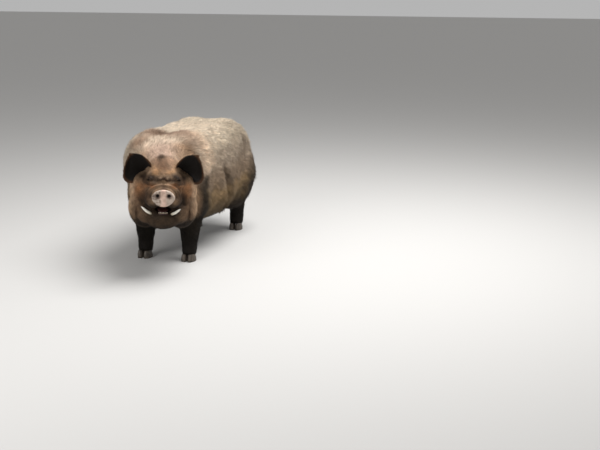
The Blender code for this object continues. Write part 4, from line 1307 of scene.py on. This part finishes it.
def make_wattle(side, name, material, coat, chance):
    """One of the two tassels of skin that hang from the jaw, with thin hair."""
    points = [(0.124, -0.080, -0.056), (0.136, -0.112, -0.062), (0.141, -0.123, -0.084),
              (0.141, -0.122, -0.108)]
    path = smooth_path([HEAD @ Vector(sided(p, side)) for p in points], 6)
    share = np.linspace(0, 1, len(path))
    waist = 0.0016 * np.sin(math.pi * np.minimum(1, share * 1.3))
    radii = 0.0072 - waist + 0.0012 * np.exp(-((share - 0.82) / 0.1) ** 2)
    radii[-2:] = (0.0050, 0.0022)
    tassel = tube(path, list(radii), "wattle", resolution=5)
    colour_points(tassel, markings(points_of(tassel)) * 0.8)
    finish_piece(tassel, f"wattle_{name}_skin", material, "wattle", f"wattle_{name}")
    count = WATTLE_TUFTS
    roots, facing = scatter(tassel, count, lambda points, _: 1.0, chance)
    tufts = dict(roots=roots, facing=facing, width=np.full(count, 0.0015), lift=np.full(count, 0.16),
                 lie=laid((0.0, 0.1, -1.0), facing, roots, 0.1, chance),
                 colours=tone(124, 102, 82) * chance.uniform(0.7, 1.15, (count, 1)),
                 length=0.013 * chance.uniform(0.7, 1.3, count), curl=chance.normal(scale=0.1, size=count))
    chart = round_stem(facing, roots, 20)
    coat_piece(f"wattle_{name}", tufts, chart, FINE_STATIONS, coat, "wattle")


def make_claw(centre, side):
    """One half of a cloven hoof: rounded, longer to the front, and flat below."""
    x, y = centre
    obj = ball((x + side * 0.0195, y - 0.006, 0.006), (0.0190, 0.036, 0.046),
               turn=(12, 0, -side * 5), segments=36)
    obj.data.transform(BODY)
    alone(obj)
    bpy.ops.object.mode_set(mode="EDIT")
    for height, way in ((HOOF_TOP - 0.0003, 1), (0.0, -1)):
        bpy.ops.mesh.select_all(action="SELECT")
        bpy.ops.mesh.bisect(plane_co=(0, 0, height), plane_no=(0, 0, way), use_fill=True, clear_outer=True)
    bpy.ops.object.mode_set(mode="OBJECT")
    changed(obj, "BEVEL", width=0.0014, segments=2, limit_method="ANGLE", angle_limit=math.radians(50))
    return applied(obj)


def make_foot(where, name, material):
    """The two claws of a foot and the two small dewclaws behind them."""
    side = SIDES[name]
    x, y = (LEG_X, -0.266) if where == "front" else (HIND_LEG_X, 0.446)
    x *= side
    pieces = []
    for turn in (1, -1):
        pieces.append(make_claw((x, y), turn))
        dewclaw = (x + turn * 0.020, y + 0.039, 0.062)
        pieces.append(ball(dewclaw, (0.010, 0.013, 0.019), BODY, (-28, turn * 10, 0), 24))
    foot = joined(pieces)
    nodes = [f"{kind}_{where}_{name}_{half}" for kind in ("hoof", "dewclaw") for half in ("inner", "outer")]
    finish_piece(foot, f"hooves_{where}_{name}", material, "hoof", *nodes, smooth=False)
    alone(foot)
    bpy.ops.object.shade_smooth_by_angle(angle=math.radians(40))


# Putting the pig together

stand_camera()
lay_floor()
light_studio()

chance = np.random.default_rng(COAT_SEED)
hide = marked_material("pig_hide", 0.6, 0.70, 1.0, 60, grain=420, depth=0.0012)
hair = marked_material("pig_hair", 0.7, 0.86, 1.10, 35)
ear_hide = marked_material("ear_hide", 0.55, 0.75, 1.1, 90, grain=500, depth=0.0008)
ivory = along_material(
    "tusk_ivory", 0.28, 160, 0.0003,
    (0.0, (0.30, 0.19, 0.10)), (0.30, (0.62, 0.52, 0.36)), (0.55, (0.82, 0.77, 0.66)),
    (1.0, (0.86, 0.82, 0.74)))
tooth = along_material(
    "tooth_ivory", 0.3, 220, 0.0002,
    (0.0, (0.040, 0.018, 0.016)), (0.42, (0.075, 0.036, 0.030)), (0.56, (0.45, 0.36, 0.26)),
    (1.0, (0.74, 0.68, 0.56)))
eye_wet = along_material(
    "eye_wet", 0.14, 260, 0.00005,
    (0.0, (0.003, 0.002, 0.002)), (0.085, (0.004, 0.003, 0.003)), (0.11, (0.032, 0.015, 0.007)),
    (0.20, (0.016, 0.008, 0.005)), (0.24, (0.012, 0.007, 0.006)), shine=0.14)
# The tongue's dark red, darkest at the back, is partly its flesh and partly painted shade inside the mouth
tongue_flesh = along_material(
    "tongue_flesh", 0.4, 900, 0.0004, (0.0, (0.024, 0.007, 0.007)), (1.0, (0.066, 0.021, 0.019)))
horn = horn_material()

skin = make_skin()
colour_points(skin, markings(points_of(skin)) * SKIN_SHADE)
legs = [f"leg_{where}_{name}" for where in ("front", "hind") for name in SIDES]
finish_piece(skin, "pig_skin", hide, "coat", "torso", "neck", "head", "tail", *legs)
grow_body(skin, hair, chance, BODY_TUFTS, under=False)
grow_body(skin, hair, chance, UNDER_TUFTS, under=True)
grow_face(skin, hair, chance)
grow_legs(skin, hair, chance)
grow_tail(skin, hair, chance)
for name, side in SIDES.items():
    make_ear(side, name, ear_hide, hair, chance)
    make_eye(side, name, eye_wet)
    make_tusk(side, name, ivory)
    make_wattle(side, name, hide, hair, chance)
    for where in ("front", "hind"):
        make_foot(where, name, horn)
make_teeth(tooth)
make_tongue(tongue_flesh)
